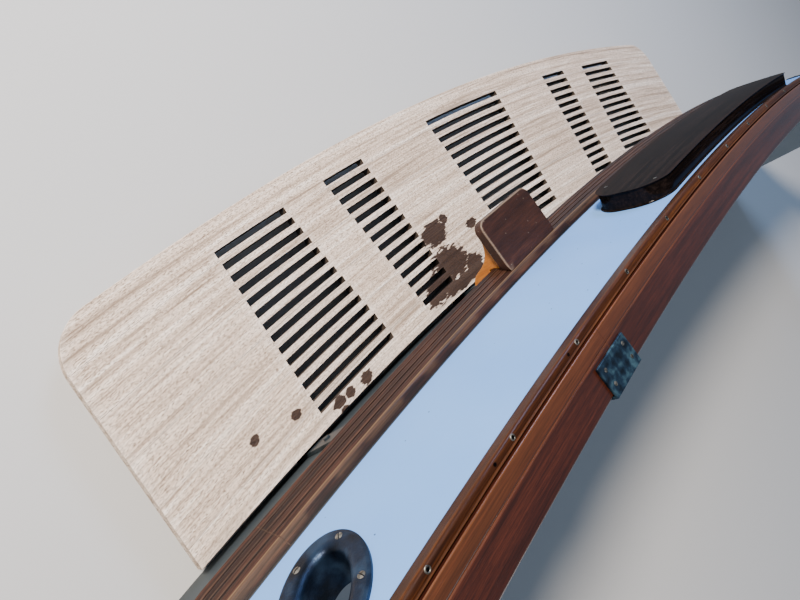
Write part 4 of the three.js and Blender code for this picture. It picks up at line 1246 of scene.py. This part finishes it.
def add_fastenings(name, head, seats, material=SCREW_METAL):
    """Heads of one kind as one piece, each turned by the golden angle from the last."""
    shape, shape_faces, wear = head
    points, faces = [], []
    for i, (origin, axes) in enumerate(seats):
        cos, sin = math.cos(GOLDEN_ANGLE * i), math.sin(GOLDEN_ANGLE * i)
        turned = shape @ np.array([(cos, sin, 0), (-sin, cos, 0), (0, 0, 1)])
        faces += [[corner + i * len(shape) for corner in face] for face in shape_faces]
        points.append(turned @ axes + origin)
    make_piece(name, np.concatenate(points), faces, as_placed, material,
               wear=np.tile(wear, len(seats)), sharp=30)


def add_cap_fastenings():
    """The cap rail's screws in their cup washers, and its empty holes, which are small cups painted dark all
    over as the shade in the hole.
    """
    both_sides = sorted({sign * u for u in CAP_SCREWS for sign in (-1, 1)})
    pit, pit_faces, _ = cupped_head(*EMPTY_HOLE)
    # Empty holes are dark all over, as painted shade
    shaded_pit = pit, pit_faces, -np.ones(len(pit))
    for name, head, us in (("cap_screws", cupped_head(*CUP_WASHER), both_sides),
                           ("cap_empty_holes", shaded_pit, CAP_EMPTY_HOLES)):
        add_fastenings(name, head, [seat_at(along_stern, (u, CAP_SCREW_AFT, STRIP_TOP)) for u in us])


def add_all_fastenings():
    """Screws in the cap rail, name board, hawse castings and angle plates, and bolts in the bracket pads."""
    add_cap_fastenings()
    small, large = slotted_head(*SMALL_SCREW), slotted_head(*LARGE_SCREW)
    boards = [seat_at(along_face, (arc_at(x), up, BOARD_THICK)) for x, up in BOARD_SCREWS]
    add_fastenings("nameboard_screws", small, boards)
    flange_top = 2 * SEAT + FLANGE_THICK
    plate_top = CAP_TOP + SEAT + ANGLE_THICK
    for side, name in SIDES:
        ring = [(HAWSE_SCREW_HALVES[0] * math.cos(turn), HAWSE_SCREW_HALVES[1] * math.sin(turn), flange_top)
                for turn in HAWSE_SCREW_TURNS]
        add_fastenings(f"hawse_screws_{name}", large, [seat_at(hawse_place(side), point) for point in ring])
        station = at_station(side * BOARD_JOINTS[0], True)
        leaf = [seat_at(station, (across, CAP_IN + aft, plate_top)) for across, aft in PLATE_SCREWS]
        add_fastenings(f"plate_screws_{name}", small, leaf)
        pads = [seat_at(at_station(side * x, False), (0, hull_aft(z, x) + SEAT + PAD_THICK, z), out=1)
                for x in BRACKET_PLACES for z in BOLT_HEIGHTS]
        add_fastenings(f"bracket_bolts_{name}", hexagon_head(*BOLT_HEAD), pads, STEEL)


# Battens, brackets, struts and angle plates: the solids themselves with their edges broken. For each kind:
# the start of its pieces' names, the edges' width, the material and the slot.

DRESSED = {
    "batten": ("teak", 0.003, BARE_TEAK, "platform_teak"),
    "bracket": ("steel", 0.0015, STEEL, "bracket_steel"),
    "strut": ("steel", 0.0025, STEEL, "bracket_steel"),
    "angle": ("bronze", 0.0018, PLATE_BRONZE, "dark_bronze"),
}


def dress_node(name, prefix, width, material, slot):
    """A copy of a node's mesh with its triangles merged into flat faces and its edges rounded. Its grain
    runs fore and aft."""
    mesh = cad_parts[name].data.copy()
    mesh.name = f"{prefix}_{name}"
    work = bmesh.new()
    work.from_mesh(mesh)
    bmesh.ops.remove_doubles(work, verts=work.verts, dist=1e-5)
    bmesh.ops.dissolve_limit(work, angle_limit=math.radians(1), verts=work.verts, edges=work.edges)
    work.to_mesh(mesh)
    work.free()
    mesh.materials.clear()
    mesh.materials.append(material)
    points = np.empty(3 * len(mesh.vertices))
    mesh.vertices.foreach_get("co", points)
    mark(mesh, points.reshape(-1, 3)[:, (1, 0, 2)], 0)
    piece = new_object(f"{prefix}_{name}", mesh)
    bevel = piece.modifiers.new("broken edges", "BEVEL")
    bevel.width = width
    bevel.segments = 3
    bevel.limit_method = "ANGLE"
    bevel.harden_normals = True
    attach(piece, BODY)
    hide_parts(name)


def dress_nodes():
    """Dresses every node whose name starts with one of the kinds above."""
    for name in sorted(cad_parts):
        finish = DRESSED.get(name.split("_")[0])
        if finish:
            dress_node(name, *finish)


# Studio

CAMERA_PLACE = (2.1443, -0.2922, 2.0472)
CAMERA_RIGHT = (-0.62400, 0.54988, 0.55520)
CAMERA_UP = (-0.44785, -0.83390, 0.32256)
CAMERA_BACK = (0.64036, -0.04737, 0.76662)
FOCAL_PIXELS, IMAGE_WIDTH, SENSOR = 620, 800, 36


def add_camera():
    """The photograph's view: its place and axes, and a lens from the focal length in pixels."""
    data = bpy.data.cameras.new("camera")
    data.sensor_width = SENSOR
    data.lens = SENSOR * FOCAL_PIXELS / IMAGE_WIDTH
    data.clip_start = 0.05
    axes = Matrix((CAMERA_RIGHT, CAMERA_UP, CAMERA_BACK)).transposed().to_4x4()
    camera = new_object("camera", data)
    camera.matrix_world = Matrix.Translation(CAMERA_PLACE) @ axes
    bpy.context.scene.camera = camera


# Lamps: name, place, size, power and colour. The high one stands so far aft that no light falls straight
# through the drain slots. All look at one point near the object's middle.
LIGHTS = (
    ("high", (3.5, -3.6, 5.2), 1.4, 1120, "#fff0e2"),
    ("astern", (-1.8, -4.6, 4.4), 2.5, 260, "#a8ccff"),
    ("inside", (-1.0, 6.0, 1.7), 3.0, 60, "#ffffff"),
)
LAMPS_LOOK_AT = (0, -0.2, 0.8)
SURROUND, SURROUND_STRENGTH = "#bdd3f2", 0.32
FLOOR_COLOUR, FLOOR_ROUGHNESS = "#b9bcbd", 0.9
# The floor's height, a tenth of a metre below the platform's top, and half its breadth
FLOOR_HEIGHT, FLOOR_HALF = PLANK_TOP - 0.10, 12.0


def add_studio():
    """Large soft lamps that look at the object's middle, a pale surround, and a pale floor that hides the
    wall's foot."""
    for name, place, size, power, colour in LIGHTS:
        data = bpy.data.lights.new(name, "AREA")
        data.shape = "DISK"
        data.size = size
        data.energy = power
        data.color = linear(colour)[:3]
        lamp = new_object(name, data)
        towards = Vector(LAMPS_LOOK_AT) - Vector(place)
        lamp.location = place
        lamp.rotation_euler = towards.to_track_quat("-Z", "Y").to_euler()
    world = bpy.data.worlds.new("studio")
    world.use_nodes = True
    background = world.node_tree.nodes["Background"]
    connect(world.node_tree, background, {"Color": linear(SURROUND), "Strength": SURROUND_STRENGTH})
    bpy.context.scene.world = world
    mesh = bpy.data.meshes.new("floor")
    signs = ((-1, -1), (1, -1), (1, 1), (-1, 1))
    corners = [(FLOOR_HALF * x, FLOOR_HALF * y, FLOOR_HEIGHT) for x, y in signs]
    mesh.from_pydata(corners, [], [(0, 1, 2, 3)])
    material, tree, shader = blank("pale floor")
    connect(tree, shader, {"Base Color": linear(FLOOR_COLOUR), "Roughness": FLOOR_ROUGHNESS})
    mesh.materials.append(material)
    floor = new_object("floor", mesh)


add_camera()
add_wall()
add_rails()
add_sealant()
add_name_board()
add_step_board()
add_knees()
add_planks()
add_hawses()
add_all_fastenings()
dress_nodes()
add_studio()
